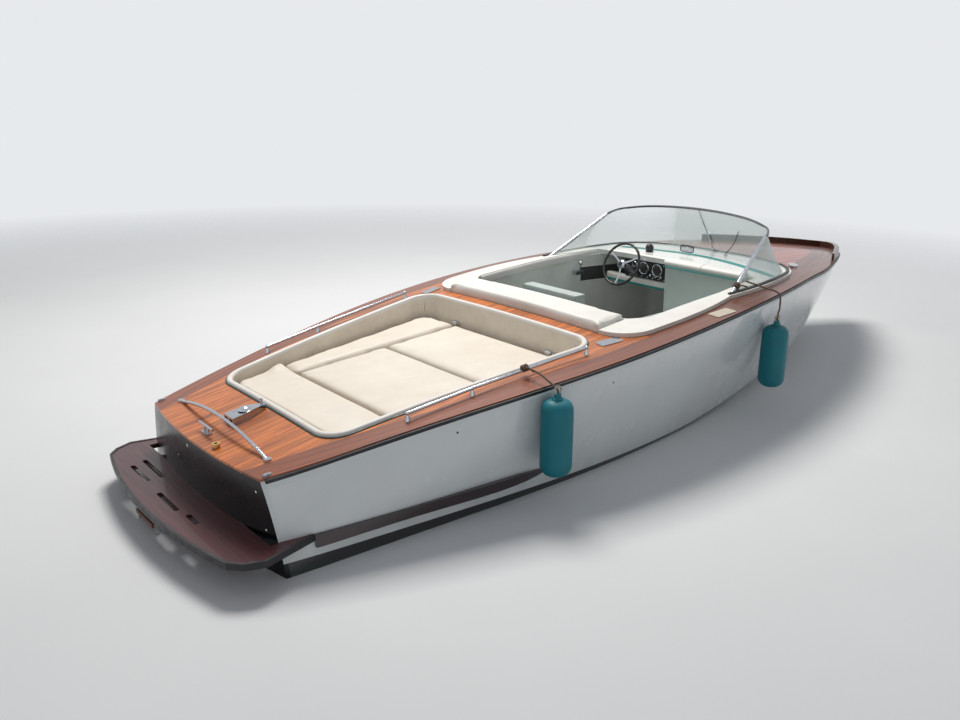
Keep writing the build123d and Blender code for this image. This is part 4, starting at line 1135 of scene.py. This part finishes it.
class SPEEDBOAT_OT_sun_pads(bpy.types.Operator):
    """Stuff the sun pads and finish the hatch that carries them"""

    bl_idname = "speedboat.sun_pads"
    bl_label = "Sun pads"

    def execute(self, context):
        upholster(
            "sun_pad_cushions", "sun_pads", "pad vinyl", "cream_vinyl", 0.018, 0.007,
            pressure=3.0, body="hatch", shape=pad_shape,
        )
        dress("hatch board", "engine_hatch")
        dress("steel", "hatch_hinge_pins", "hatch_hinge_straps")
        return {"FINISHED"}


# Inner edge of the side pads as (x, y), the drop of the roll's middle below it, and its width and height
COAMING_EDGE = ((2.50, 0.782), (2.75, 0.786), (3.20, 0.782), (3.45, 0.757), (3.70, 0.731))
ROLL_DROP = 0.036
COAMING_ROLL = (0.022, 0.062)


class SPEEDBOAT_OT_coaming(bpy.types.Operator):
    """Stuff the aft bar, cover the side pads and roll their inner edge"""

    bl_idname = "speedboat.coaming"
    bl_label = "Coaming pads"

    def execute(self, context):
        upholster("aft_bar_pad", "aft_bar", "coaming vinyl", "white_vinyl", 0.011, 0.007, 0.004, 5.0)
        dress("coaming vinyl", "side_pads")
        pads = solid_tree("side_pads", "dash")
        rolls = []
        for side in (-1, 1):
            line = smooth_path([Vector((x, side * y, 0)) for x, y in COAMING_EDGE], 10)
            hung = [p + UP * (height_on(pads, p.x, p.y + side * 0.02) - ROLL_DROP) for p in line]
            rolls.append(sweep(hung, oval(*COAMING_ROLL, 16)))
        put("coaming_rolls", *joined(rolls), "roll vinyl", "white_vinyl")
        return {"FINISHED"}


# Cockpit

# Ends of the side pocket along x, its foot and top, and the steps along it
POCKET_ENDS = (3.52, 4.02)
POCKET_LEVELS = (0.62, 0.74)
POCKET_STEPS = 26


class SPEEDBOAT_OT_cockpit(bpy.types.Operator):
    """Carpet the sole, line the walls and set the side pocket, a near-black sheet of painted shade in a frame
    """

    bl_idname = "speedboat.cockpit"
    bl_label = "Cockpit"

    def execute(self, context):
        dress("sole carpet", "cockpit_sole")
        dress("lining", "cockpit_liner", "helm_seat_base", "passenger_seat_base")
        dress("chrome", "throttle")
        walls = solid_tree("cockpit_liner")
        rows = []
        for z in POCKET_LEVELS:
            row = []
            for step in range(POCKET_STEPS + 1):
                x = POCKET_ENDS[0] + (POCKET_ENDS[1] - POCKET_ENDS[0]) * step / POCKET_STEPS
                row.append(walls.ray_cast(Vector((x, 0.2, z)), PORT)[0])
            rows.append(row)
        # Painted shade: a near-black sheet on the wall stands for the shadowed hollow of the pocket
        vertices = [place - PORT * 0.002 for row in rows for place in row]
        wide = POCKET_STEPS + 1
        faces = [[k, k + 1, wide + k + 1, wide + k] for k in range(POCKET_STEPS)]
        put("side_pocket", vertices, faces, "pocket lining", "dark_floor")
        edge = [place - PORT * 0.003 for place in rows[0] + rows[1][::-1]]
        put("side_pocket_frame", *tube(edge, 0.0045, 8, True), "coaming vinyl", "white_vinyl")
        return {"FINISHED"}


# Middle of the dash's stripe as (x, y)
STRIPE_LINE = ((3.85, -0.79), (3.98, -0.39), (4.04, 0.01), (3.99, 0.37), (3.93, 0.66))
STRIPE_WIDTH = 0.062
# Dials and switches: y, height, radius
DIALS = ((0.245, 0.782, 0.048), (0.115, 0.782, 0.048), (0.335, 0.800, 0.024))
SWITCHES = ((0.185, 0.730, 0.012), (0.135, 0.730, 0.012), (0.085, 0.730, 0.012))
# x of the instrument panel's face
DIAL_FACE = 3.716
# In degrees from a dial's top: its first mark, how far round the marks go, and its needle
MARKS_START = -130
MARKS_SWEEP = 260
NEEDLE_TURN = -118
# Row of toggles: y of the first, their spacing, count and height
TOGGLE_START = 0.05
TOGGLE_SPACING = 0.055
TOGGLES = 7
TOGGLE_LEVEL = 0.712
TOGGLE = ((0.0, 0.010), (0.0025, 0.0095), (0.003, 0.004), (0.0055, 0.003), (0.006, -0.001))
# The dash's aft edge, the x where its height is taken, and its roll's width and height, start along y,
# length and steps
DASH_EDGE = 3.742
DASH_INSIDE = 3.75
DASH_ROLL = (0.040, 0.030)
ROLL_START = -0.66
ROLL_LENGTH = 1.30
ROLL_STEPS = 48
# Two corners of the stripe on the knee roll
KNEE_STRIPE = ((3.7245, 0.012, 0.634), (3.7285, 0.632, 0.652))


def clock(turn):
    """Direction on a dial at an angle from its top, and the direction across it."""
    return Vector((0, math.sin(turn), math.cos(turn))), Vector((0, math.cos(turn), -math.sin(turn)))


def dial(y, z, radius):
    """Bezel, face, marks, needle and the needle's cap of one instrument."""
    centre = Vector((DIAL_FACE, y, z))
    aft = -FORWARD
    bezel_profile = (
        (radius * 1.00, -0.009), (radius * 1.04, 0.0), (radius * 1.03, 0.006), (radius * 0.95, 0.0085),
        (radius * 0.88, 0.006), (radius * 0.86, 0.001),
    )
    bezel = lathe(bezel_profile, centre, aft, 40)
    face = lathe(((0.0, 0.0012), (radius * 0.87, 0.001), (radius * 0.87, -0.004)), centre, aft, 40)
    marks = []
    count = 21 if radius > 0.03 else 9
    for index in range(count):
        turn = math.radians(MARKS_START + MARKS_SWEEP * index / (count - 1))
        long = index % 5 == 0 if count == 21 else index % 4 == 0
        way, side = clock(turn)
        side = side * radius * (0.022 if long else 0.012)
        flat = centre + aft * 0.0018
        inner = flat + way * (radius * (0.62 if long else 0.70))
        outer = flat + way * (radius * 0.78)
        marks.append(([inner - side, inner + side, outer + side, outer - side], [[0, 1, 2, 3]]))
    way, side = clock(math.radians(NEEDLE_TURN))
    side = side * radius * 0.02
    raised = centre + aft * 0.0028
    tail = raised - way * radius * 0.12
    pointer = ([tail - side, tail + side, raised + way * radius * 0.66], [[0, 1, 2]])
    cap = lathe(((0.0, 0.0045), (radius * 0.07, 0.004), (radius * 0.08, 0.001)), centre, aft, 20)
    return bezel, face, joined(marks), pointer, cap


class SPEEDBOAT_OT_dash(bpy.types.Operator):
    """Finish the dash with its stripe, rolls, instruments and compass"""

    bl_idname = "speedboat.dash"
    bl_label = "Dash"

    def execute(self, context):
        dress("dash gloss", "dash")
        dress("black plastic", "instrument_panel", "compass")
        self.stripe()
        self.instruments()
        upholster("knee_pad", "knee_roll", "coaming vinyl", "white_vinyl", 0.008, 0.004, 0.002)
        put("knee_stripe", *slab(*KNEE_STRIPE), "teal trim", "teal_vinyl")
        return {"FINISHED"}

    def stripe(self):
        """Stripe laid on the dash, and the soft roll along its aft edge."""
        top = solid_tree("dash")
        middle = smooth_path([Vector((x, y, 0)) for x, y in STRIPE_LINE], 12)
        vertices = []
        for place in middle:
            for x in (place.x - STRIPE_WIDTH / 2, place.x + STRIPE_WIDTH / 2):
                vertices.append(Vector((x, place.y, height_on(top, x, place.y) + 0.0012)))
        faces = [[2 * k, 2 * k + 1, 2 * k + 3, 2 * k + 2] for k in range(len(middle) - 1)]
        put("dash_stripe", vertices, faces, "teal trim", "teal_vinyl")
        roll = []
        for step in range(ROLL_STEPS + 1):
            y = ROLL_START + ROLL_LENGTH * step / ROLL_STEPS
            roll.append(Vector((DASH_EDGE, y, height_on(top, DASH_INSIDE, y) - 0.007)))
        put("dash_roll", *sweep(roll, oval(*DASH_ROLL, 16)), "coaming vinyl", "white_vinyl")

    def instruments(self):
        """Dials and switches in place of their plain solids."""
        bezels = []
        faces = []
        marks = []
        pointers = []
        for y, z, radius in DIALS:
            bezel, face, tick, pointer, cap = dial(y, z, radius)
            bezels.append(bezel)
            faces += [face, cap]
            marks.append(tick)
            pointers.append(pointer)
        for y, z, radius in SWITCHES:
            centre = Vector((DIAL_FACE + 0.008, y, z))
            stem = ((0.0, 0.016), (radius * 0.45, 0.0155), (radius * 0.5, 0.008))
            knob = (*stem, (radius, 0.006), (radius, -0.002))
            bezels.append(lathe(knob, centre, -FORWARD, 24))
        for index in range(TOGGLES):
            centre = Vector((DIAL_FACE + 0.009, TOGGLE_START + TOGGLE_SPACING * index, TOGGLE_LEVEL))
            bezels.append(lathe(TOGGLE, centre, -FORWARD, 16))
        put("dial_bezels", *joined(bezels), "chrome", "chrome", stands_for=("gauges",))
        put("dial_faces", *joined(faces), "dial face", "black_panel")
        put("dial_marks", *joined(marks), "dial marks", "white_dash", crease=0)
        put("dial_needles", *joined(pointers), "needle", "white_dash", crease=0)


# The wheel's centre, lean and rim, the waves of its grip, and its spokes
WHEEL_CENTRE = Vector((3.560, 0.345, 0.820))
WHEEL_LEAN = math.radians(25)
WHEEL_RADIUS = 0.165
RIM_STEPS = 96
RIM_THICK = 0.0098
GRIPS = 24
GRIP_DEPTH = 0.0007
SPOKES = 3
SPOKE_STEPS = 8
SPOKE_SIZE = (0.017, 0.0045)


class SPEEDBOAT_OT_steering(bpy.types.Operator):
    """Make the steering wheel and finish its column"""

    bl_idname = "speedboat.steering"
    bl_label = "Steering"

    def execute(self, context):
        dress("steel", "steering_column")
        axis = Vector((-math.cos(WHEEL_LEAN), 0, math.sin(WHEEL_LEAN)))
        across = PORT
        lift = axis.cross(across)
        rim = circle(WHEEL_CENTRE, across, lift, WHEEL_RADIUS, RIM_STEPS)
        turns = [2 * math.pi * step / RIM_STEPS for step in range(RIM_STEPS)]
        grips = [RIM_THICK + GRIP_DEPTH * math.cos(GRIPS * t) for t in turns]
        put("wheel_rim", *tube(rim, grips, 14, True), "wheel rim", "black_rim", "wheel", ("steering_wheel",))
        hub = (
            (0.0, 0.014), (0.012, 0.0135), (0.022, 0.010), (0.026, 0.005), (0.034, 0.003), (0.036, -0.001),
            (0.033, -0.012), (0.026, -0.028), (0.010, -0.030), (0.009, -0.074), (0.0, -0.075),
        )
        parts = [lathe(hub, WHEEL_CENTRE, axis, 40)]
        for spoke in range(SPOKES):
            turn = math.radians(90 + 360 / SPOKES * spoke)
            out = across * math.cos(turn) + lift * math.sin(turn)
            path = []
            widths = []
            for step in range(SPOKE_STEPS + 1):
                share = step / SPOKE_STEPS
                waist = math.sin(math.pi * share)
                dish = -0.010 * waist - 0.003
                path.append(WHEEL_CENTRE + out * (0.028 + (WHEEL_RADIUS - 0.030) * share) + axis * dish)
                widths.append(1.25 - 0.45 * waist)
            parts.append(sweep(path, oval(*SPOKE_SIZE, 12, 0, 0.7), up=axis, scales=widths))
        put("wheel_spokes", *joined(parts), "chrome", "chrome", "wheel")
        cap = ((0.0, 0.0175), (0.010, 0.017), (0.016, 0.0145), (0.018, 0.011))
        put("wheel_boss", *lathe(cap, WHEEL_CENTRE, axis, 32), "black plastic", "black_rim", "wheel")
        return {"FINISHED"}


# Ends of the two backrest rolls along y, their (x, z), their width and height, and the same of the piping
BACKREST_SPANS = ((-0.672, -0.352), (-0.346, -0.024))
BACKREST_PLACE = (3.662, 0.880)
BACKREST_ROLL = (0.108, 0.058)
PIPING_SPAN = (-0.670, -0.025)
PIPING_PLACE = (3.607, 0.852)
PIPING_RADIUS = 0.0045


def athwart(place, span):
    """Line across the boat through (x, z), between two ends along y."""
    return [Vector((place[0], span[0] + (span[1] - span[0]) * step / 12, place[1])) for step in range(13)]


class SPEEDBOAT_OT_seats(bpy.types.Operator):
    """Stuff the helm and passenger seats and roll their backs"""

    bl_idname = "speedboat.seats"
    bl_label = "Seats"

    def execute(self, context):
        for name, source in (("helm_cushions", "helm_seat"), ("passenger_cushions", "passenger_seat")):
            upholster(name, source, "seat vinyl", "white_vinyl", 0.013, 0.010, 0.006, 5.0)
        section = oval(*BACKREST_ROLL, 20)
        rolls = [sweep(athwart(BACKREST_PLACE, span), section) for span in BACKREST_SPANS]
        put("backrest_rolls", *joined(rolls), "coaming vinyl", "white_vinyl")
        piping = tube(athwart(PIPING_PLACE, PIPING_SPAN), PIPING_RADIUS, 8)
        put("backrest_piping", *piping, "teal trim", "teal_vinyl")
        return {"FINISHED"}


# The centre strut's ends, and the mirror's middle, half sizes, corners and stalk
STRUT_FOOT = Vector((4.262, 0.0, 0.905))
STRUT_HEAD = Vector((4.030, 0.0, 1.228))
MIRROR_PLACE = Vector((3.985, 0.05, 0.930))
MIRROR_HALVES = (0.062, 0.026)
MIRROR_SIDES = 28
MIRROR_STALK = (4.0, 0.05)
# Foot of the wiper as (x, y)
WIPER_FOOT = (4.20, -0.16)


class SPEEDBOAT_OT_windscreen(bpy.types.Operator):
    """Glaze the windscreen and fit its posts, strut, mirror and wiper"""

    bl_idname = "speedboat.windscreen"
    bl_label = "Windscreen"

    def execute(self, context):
        dress("glass", "windscreen")
        dress("chrome", "screen_posts")
        dress("trim metal", "screen_trim")
        dress("rubber", "screen_gasket")
        strut = [STRUT_FOOT.lerp(STRUT_HEAD, step / 12) for step in range(13)]
        put("screen_strut", *tube(strut, 0.0055, 12), "chrome", "chrome")
        foot = ((0.0, 0.012), (0.010, 0.011), (0.020, 0.003), (0.021, 0.0))
        put("strut_foot", *lathe(foot, STRUT_FOOT - UP * 0.006, UP, 24), "chrome", "chrome")
        self.mirror()
        self.wiper()
        return {"FINISHED"}

    def mirror(self):
        """Small framed mirror on a stalk over the dash."""
        section = oval(2, 2, MIRROR_SIDES, 0, 0.45)
        wide, tall = MIRROR_HALVES
        outline = [MIRROR_PLACE + Vector((0, wide * a, tall * b)) for a, b in section]
        put("mirror_frame", *tube(outline, 0.0035, 8, True), "rubber", "black_rubber")
        faces = [[k, (k + 1) % MIRROR_SIDES, MIRROR_SIDES] for k in range(MIRROR_SIDES)]
        put("mirror_glass", outline + [MIRROR_PLACE.copy()], faces, "chrome", "chrome")
        dash_top = height_on(solid_tree("dash"), *MIRROR_STALK)
        stalk = [Vector((*MIRROR_STALK, dash_top - 0.002)), Vector((*MIRROR_STALK, 0.905))]
        stalk.append(MIRROR_PLACE + FORWARD * 0.003)
        put("mirror_stalk", *tube(smooth_path(stalk, 5), 0.0035, 8), "steel", "steel")

    def wiper(self):
        """Wiper arm on its pivot, low on the inside of the glass."""
        glass = solid_tree("windscreen")
        base = Vector((*WIPER_FOOT, height_on(solid_tree("dash"), *WIPER_FOOT)))
        pivot = ((0.0, 0.020), (0.008, 0.019), (0.013, 0.010), (0.014, -0.002))
        put("wiper_pivot", *lathe(pivot, base, UP, 20), "chrome", "chrome")
        arm = []
        for share in (0, 0.25, 0.5, 0.75, 1.0):
            z = base.z + 0.018 + 0.20 * share
            y = WIPER_FOOT[1] - 0.16 * share
            hit = glass.ray_cast(Vector((3.5, y, z)), FORWARD)[0]
            x = hit.x - 0.012 if hit else base.x
            arm.append(Vector((min(x, base.x), y, z)))
        put("wiper_arm", *tube(smooth_path(arm, 5), 0.0030, 8), "rubber", "black_rubber")


class SPEEDBOAT_OT_rails(bpy.types.Operator):
    """Polish the stern arch and the side handrails"""

    bl_idname = "speedboat.rails"
    bl_label = "Handrails"

    def execute(self, context):
        dress("chrome", "stern_rail", "side_rails")
        return {"FINISHED"}


# Foot of the stern vent's dome
VENT_TOP = Vector((0.225, 0.0, 0.5465))


class SPEEDBOAT_OT_fittings(bpy.types.Operator):
    """Finish the vent, cleats, sockets, step pad and bow eye"""

    bl_idname = "speedboat.fittings"
    bl_label = "Deck fittings"

    def execute(self, context):
        dress("chrome", "stern_vent", "stern_cleat", "side_cleats", "bow_cleats", "bow_eye")
        dome = ((0.0, 0.017), (0.014, 0.0155), (0.026, 0.010), (0.034, 0.002), (0.036, -0.002))
        put("vent_dome", *lathe(dome, VENT_TOP, UP, 36), "chrome", "chrome")
        dress("bronze", "flag_socket")
        dress("step pad", "step_pad")
        return {"FINISHED"}


class SPEEDBOAT_OT_running_gear(bpy.types.Operator):
    """Finish the engine, shaft, propeller and rudder"""

    bl_idname = "speedboat.running_gear"
    bl_label = "Running gear"

    def execute(self, context):
        dress("bronze", "shaft_strut", "propeller", "rudder")
        dress("engine paint", "engine")
        return {"FINISHED"}


# Fenders

AFT_FENDER = Vector((1.434, -1.072, 0.650))
FORE_FENDER = Vector((3.512, -1.049, 0.664))
FENDER_RADIUS = 0.086
FENDER_LENGTH = 0.470
# Places that each fender's rope passes
ROUTES = (
    (
        AFT_FENDER - UP * 0.012, AFT_FENDER + UP * 0.012, Vector((1.435, -1.050, 0.676)),
        Vector((1.436, -1.008, 0.690)), Vector((1.438, -0.930, 0.715)), Vector((1.440, -0.838, 0.722)),
    ),
    (
        FORE_FENDER - UP * 0.012, FORE_FENDER + UP * 0.03, Vector((3.506, -1.062, 0.760)),
        Vector((3.500, -1.048, 0.845)), Vector((3.45, -0.97, 0.878)), Vector((3.38, -0.875, 0.914)),
    ),
)
# A rope's strands, the length of one turn of them, the distance between its rings, and the steps round an eye
STRANDS = 3
ROPE_PITCH = 0.030
ROPE_STEP = 0.004
EYE_STEPS = 40


def fender_body(top):
    """A moulded fender with a neck at each end."""
    r = FENDER_RADIUS
    low = -FENDER_LENGTH
    profile = [(0.010, -0.002), (0.016, -0.004), (0.019, -0.012), (0.020, -0.024), (0.030, -0.034)]
    for step in range(7):
        turn = math.radians(90 * step / 6)
        profile.append((0.030 + (r - 0.032) * math.sin(turn), -0.088 + 0.050 * math.cos(turn)))
    profile += [(r - 0.0005, -0.110), (r, -0.235), (r - 0.0005, low + 0.090)]
    for step in range(7):
        turn = math.radians(90 * step / 6)
        profile.append((r * math.cos(turn) ** 0.8, low + 0.070 - 0.064 * math.sin(turn)))
    return lathe(profile, top, UP, 48)


def laid_rope(path, radius):
    """Rope of strands laid round a path."""
    lengths = [0.0]
    for before, after in zip(path, path[1:]):
        lengths.append(lengths[-1] + (after - before).length)
    ways = directions(path)
    across = ways[0].orthogonal().normalized()
    frames = []
    for place, along, run in zip(path, ways, lengths):
        across = (across - along * across.dot(along)).normalized()
        frames.append((place, across.copy(), along.cross(across), run))
    parts = []
    for strand in range(STRANDS):
        line = []
        for place, side, lift, run in frames:
            turn = 2 * math.pi * (run / ROPE_PITCH + strand / STRANDS)
            line.append(place + (side * math.cos(turn) + lift * math.sin(turn)) * radius * 0.52)
        parts.append(tube(line, radius * 0.52, 6))
    return joined(parts)


def even_steps(path, step):
    """The path's points at even distances."""
    result = [path[0]]
    carried = 0.0
    for before, after in zip(path, path[1:]):
        gap = (after - before).length
        while carried + gap >= step and gap > 0:
            share = (step - carried) / gap
            before = before.lerp(after, share)
            result.append(before)
            gap = (after - before).length
            carried = 0.0
        carried += gap
    result.append(path[-1])
    return result


# Where a fender rope is hitched: place, direction of the bar, and the turns' radius
HITCHES = (
    (Vector((1.440, -0.815, 0.7145)), Vector((0.751, -0.090, 0.105)), 0.0155),
    (Vector((3.340, -0.829, 0.880)), Vector((0.598, 0.132, 0.343)), 0.0190),
)


def hitch(place, along, reach, radius):
    """Three turns of rope round a bar, and a loose end that hangs from them."""
    along = along.normalized()
    across = along.cross(UP).normalized()
    lift = across.cross(along)
    turns = []
    for number in (-1, 0, 1):
        ring = []
        for step in range(25):
            angle = 2 * math.pi * step / 24
            shift = along * (number * radius * 2.2 + radius * step / 24)
            ring.append(place + shift + (across * math.cos(angle) + lift * math.sin(angle)) * reach)
        turns.append(laid_rope(ring, radius))
    end = [place + across * reach, place + across * (reach + 0.02) + lift * 0.012]
    end.append(place + across * (reach + 0.045) - lift * 0.012 + along * 0.02)
    turns.append(laid_rope(even_steps(smooth_path(end, 6), ROPE_STEP), radius))
    return turns


class SPEEDBOAT_OT_fenders(bpy.types.Operator):
    """Hang the fenders on their ropes"""

    bl_idname = "speedboat.fenders"
    bl_label = "Fenders"

    def execute(self, context):
        bodies = joined([fender_body(AFT_FENDER), fender_body(FORE_FENDER)])
        put("fender_bodies", *bodies, "fender plastic", "teal_vinyl", stands_for=("fenders",))
        radius = settings().rope_radius
        ropes = [laid_rope(even_steps(smooth_path(route), ROPE_STEP), radius) for route in ROUTES]
        for place, along, reach in HITCHES:
            ropes += hitch(place, along, reach, radius)
        put("fender_ropes", *joined(ropes), "brown rope", "tan_line", stands_for=("fender_lines",))
        eyes = []
        turns = [2 * math.pi * step / EYE_STEPS for step in range(EYE_STEPS)]
        for top in (AFT_FENDER, FORE_FENDER):
            loop = [top + Vector((0.024 * math.cos(t), 0, 0.012 + 0.020 * math.sin(t))) for t in turns]
            eyes.append(laid_rope(loop + loop[:2], radius * 0.8))
        put("fender_eyes", *joined(eyes), "pale rope", "tan_line")
        return {"FINISHED"}


# Sidebar


def colour(name, description, default):
    """A colour in the sidebar."""
    return bpy.props.FloatVectorProperty(
        name=name, description=description, subtype="COLOR", size=3, min=0, max=1, default=default
    )


def number(name, description, default, low=0.0, unit="NONE"):
    """A size or a strength in the sidebar."""
    return bpy.props.FloatProperty(name=name, description=description, default=default, min=low, unit=unit)


class SpeedboatSettings(bpy.types.PropertyGroup):
    """Sizes and colours that can be changed before the pieces are made"""

    topside_colour: colour("Topsides", "Paint of the topsides", (0.70, 0.735, 0.74))
    plank_colour: colour("Deck planks", "Light grain of the aft deck", (0.92, 0.27, 0.045))
    board_colour: colour("Covering boards", "Light grain of the covering boards", (0.50, 0.125, 0.036))
    vinyl_colour: colour("Coaming vinyl", "Vinyl of the coaming and the aft bar", (0.83, 0.83, 0.79))
    pad_colour: colour("Sun pads", "Vinyl of the sun pads", (0.82, 0.76, 0.67))
    teal_colour: colour("Teal trim", "Stripes on the dash", (0.01, 0.27, 0.25))
    plank_width: number("Plank width", "Width of one deck plank", 0.042, 0.01, "LENGTH")
    boot_top: number("Boot stripe", "Height of the stripe's top at the stern", 0.070, 0.0, "LENGTH")
    boot_width: number("Stripe width", "Width of the boot stripe at the stern", 0.034, 0.0, "LENGTH")
    rope_radius: number("Rope radius", "Radius of the fender ropes", 0.006, 0.002, "LENGTH")
    key_power: number("Key lamp", "Power of the overhead lamp", 700)
    side_power: number("Side lamp", "Power of the side lamp", 22)
    sky_strength: number("Sky", "Strength of the soft sky", 0.30)


PIECES = (
    SPEEDBOAT_OT_hull,
    SPEEDBOAT_OT_decks,
    SPEEDBOAT_OT_rub_rail,
    SPEEDBOAT_OT_platform,
    SPEEDBOAT_OT_recess,
    SPEEDBOAT_OT_sun_pads,
    SPEEDBOAT_OT_coaming,
    SPEEDBOAT_OT_cockpit,
    SPEEDBOAT_OT_dash,
    SPEEDBOAT_OT_steering,
    SPEEDBOAT_OT_seats,
    SPEEDBOAT_OT_windscreen,
    SPEEDBOAT_OT_rails,
    SPEEDBOAT_OT_fittings,
    SPEEDBOAT_OT_running_gear,
    SPEEDBOAT_OT_fenders,
    SPEEDBOAT_OT_stage,
)


class SPEEDBOAT_PT_pieces(bpy.types.Panel):
    """Sizes, colours and one button for each group of pieces"""

    bl_label = "Speedboat"
    bl_idname = "SPEEDBOAT_PT_pieces"
    bl_space_type = "VIEW_3D"
    bl_region_type = "UI"
    bl_category = "Speedboat"

    def draw(self, context):
        for name in SpeedboatSettings.__annotations__:
            self.layout.prop(context.scene.speedboat, name)
        for piece in PIECES:
            self.layout.operator(piece.bl_idname)


CLASSES = (SpeedboatSettings, *PIECES, SPEEDBOAT_PT_pieces)


def register():
    for made in CLASSES:
        bpy.utils.register_class(made)
    bpy.types.Scene.speedboat = bpy.props.PointerProperty(type=SpeedboatSettings)


def unregister():
    del bpy.types.Scene.speedboat
    for made in reversed(CLASSES):
        bpy.utils.unregister_class(made)


def main():
    """Makes every piece in order."""
    register()
    for piece in PIECES:
        group, name = piece.bl_idname.split(".")
        getattr(getattr(bpy.ops, group), name)()


if __name__ == "__main__":
    main()
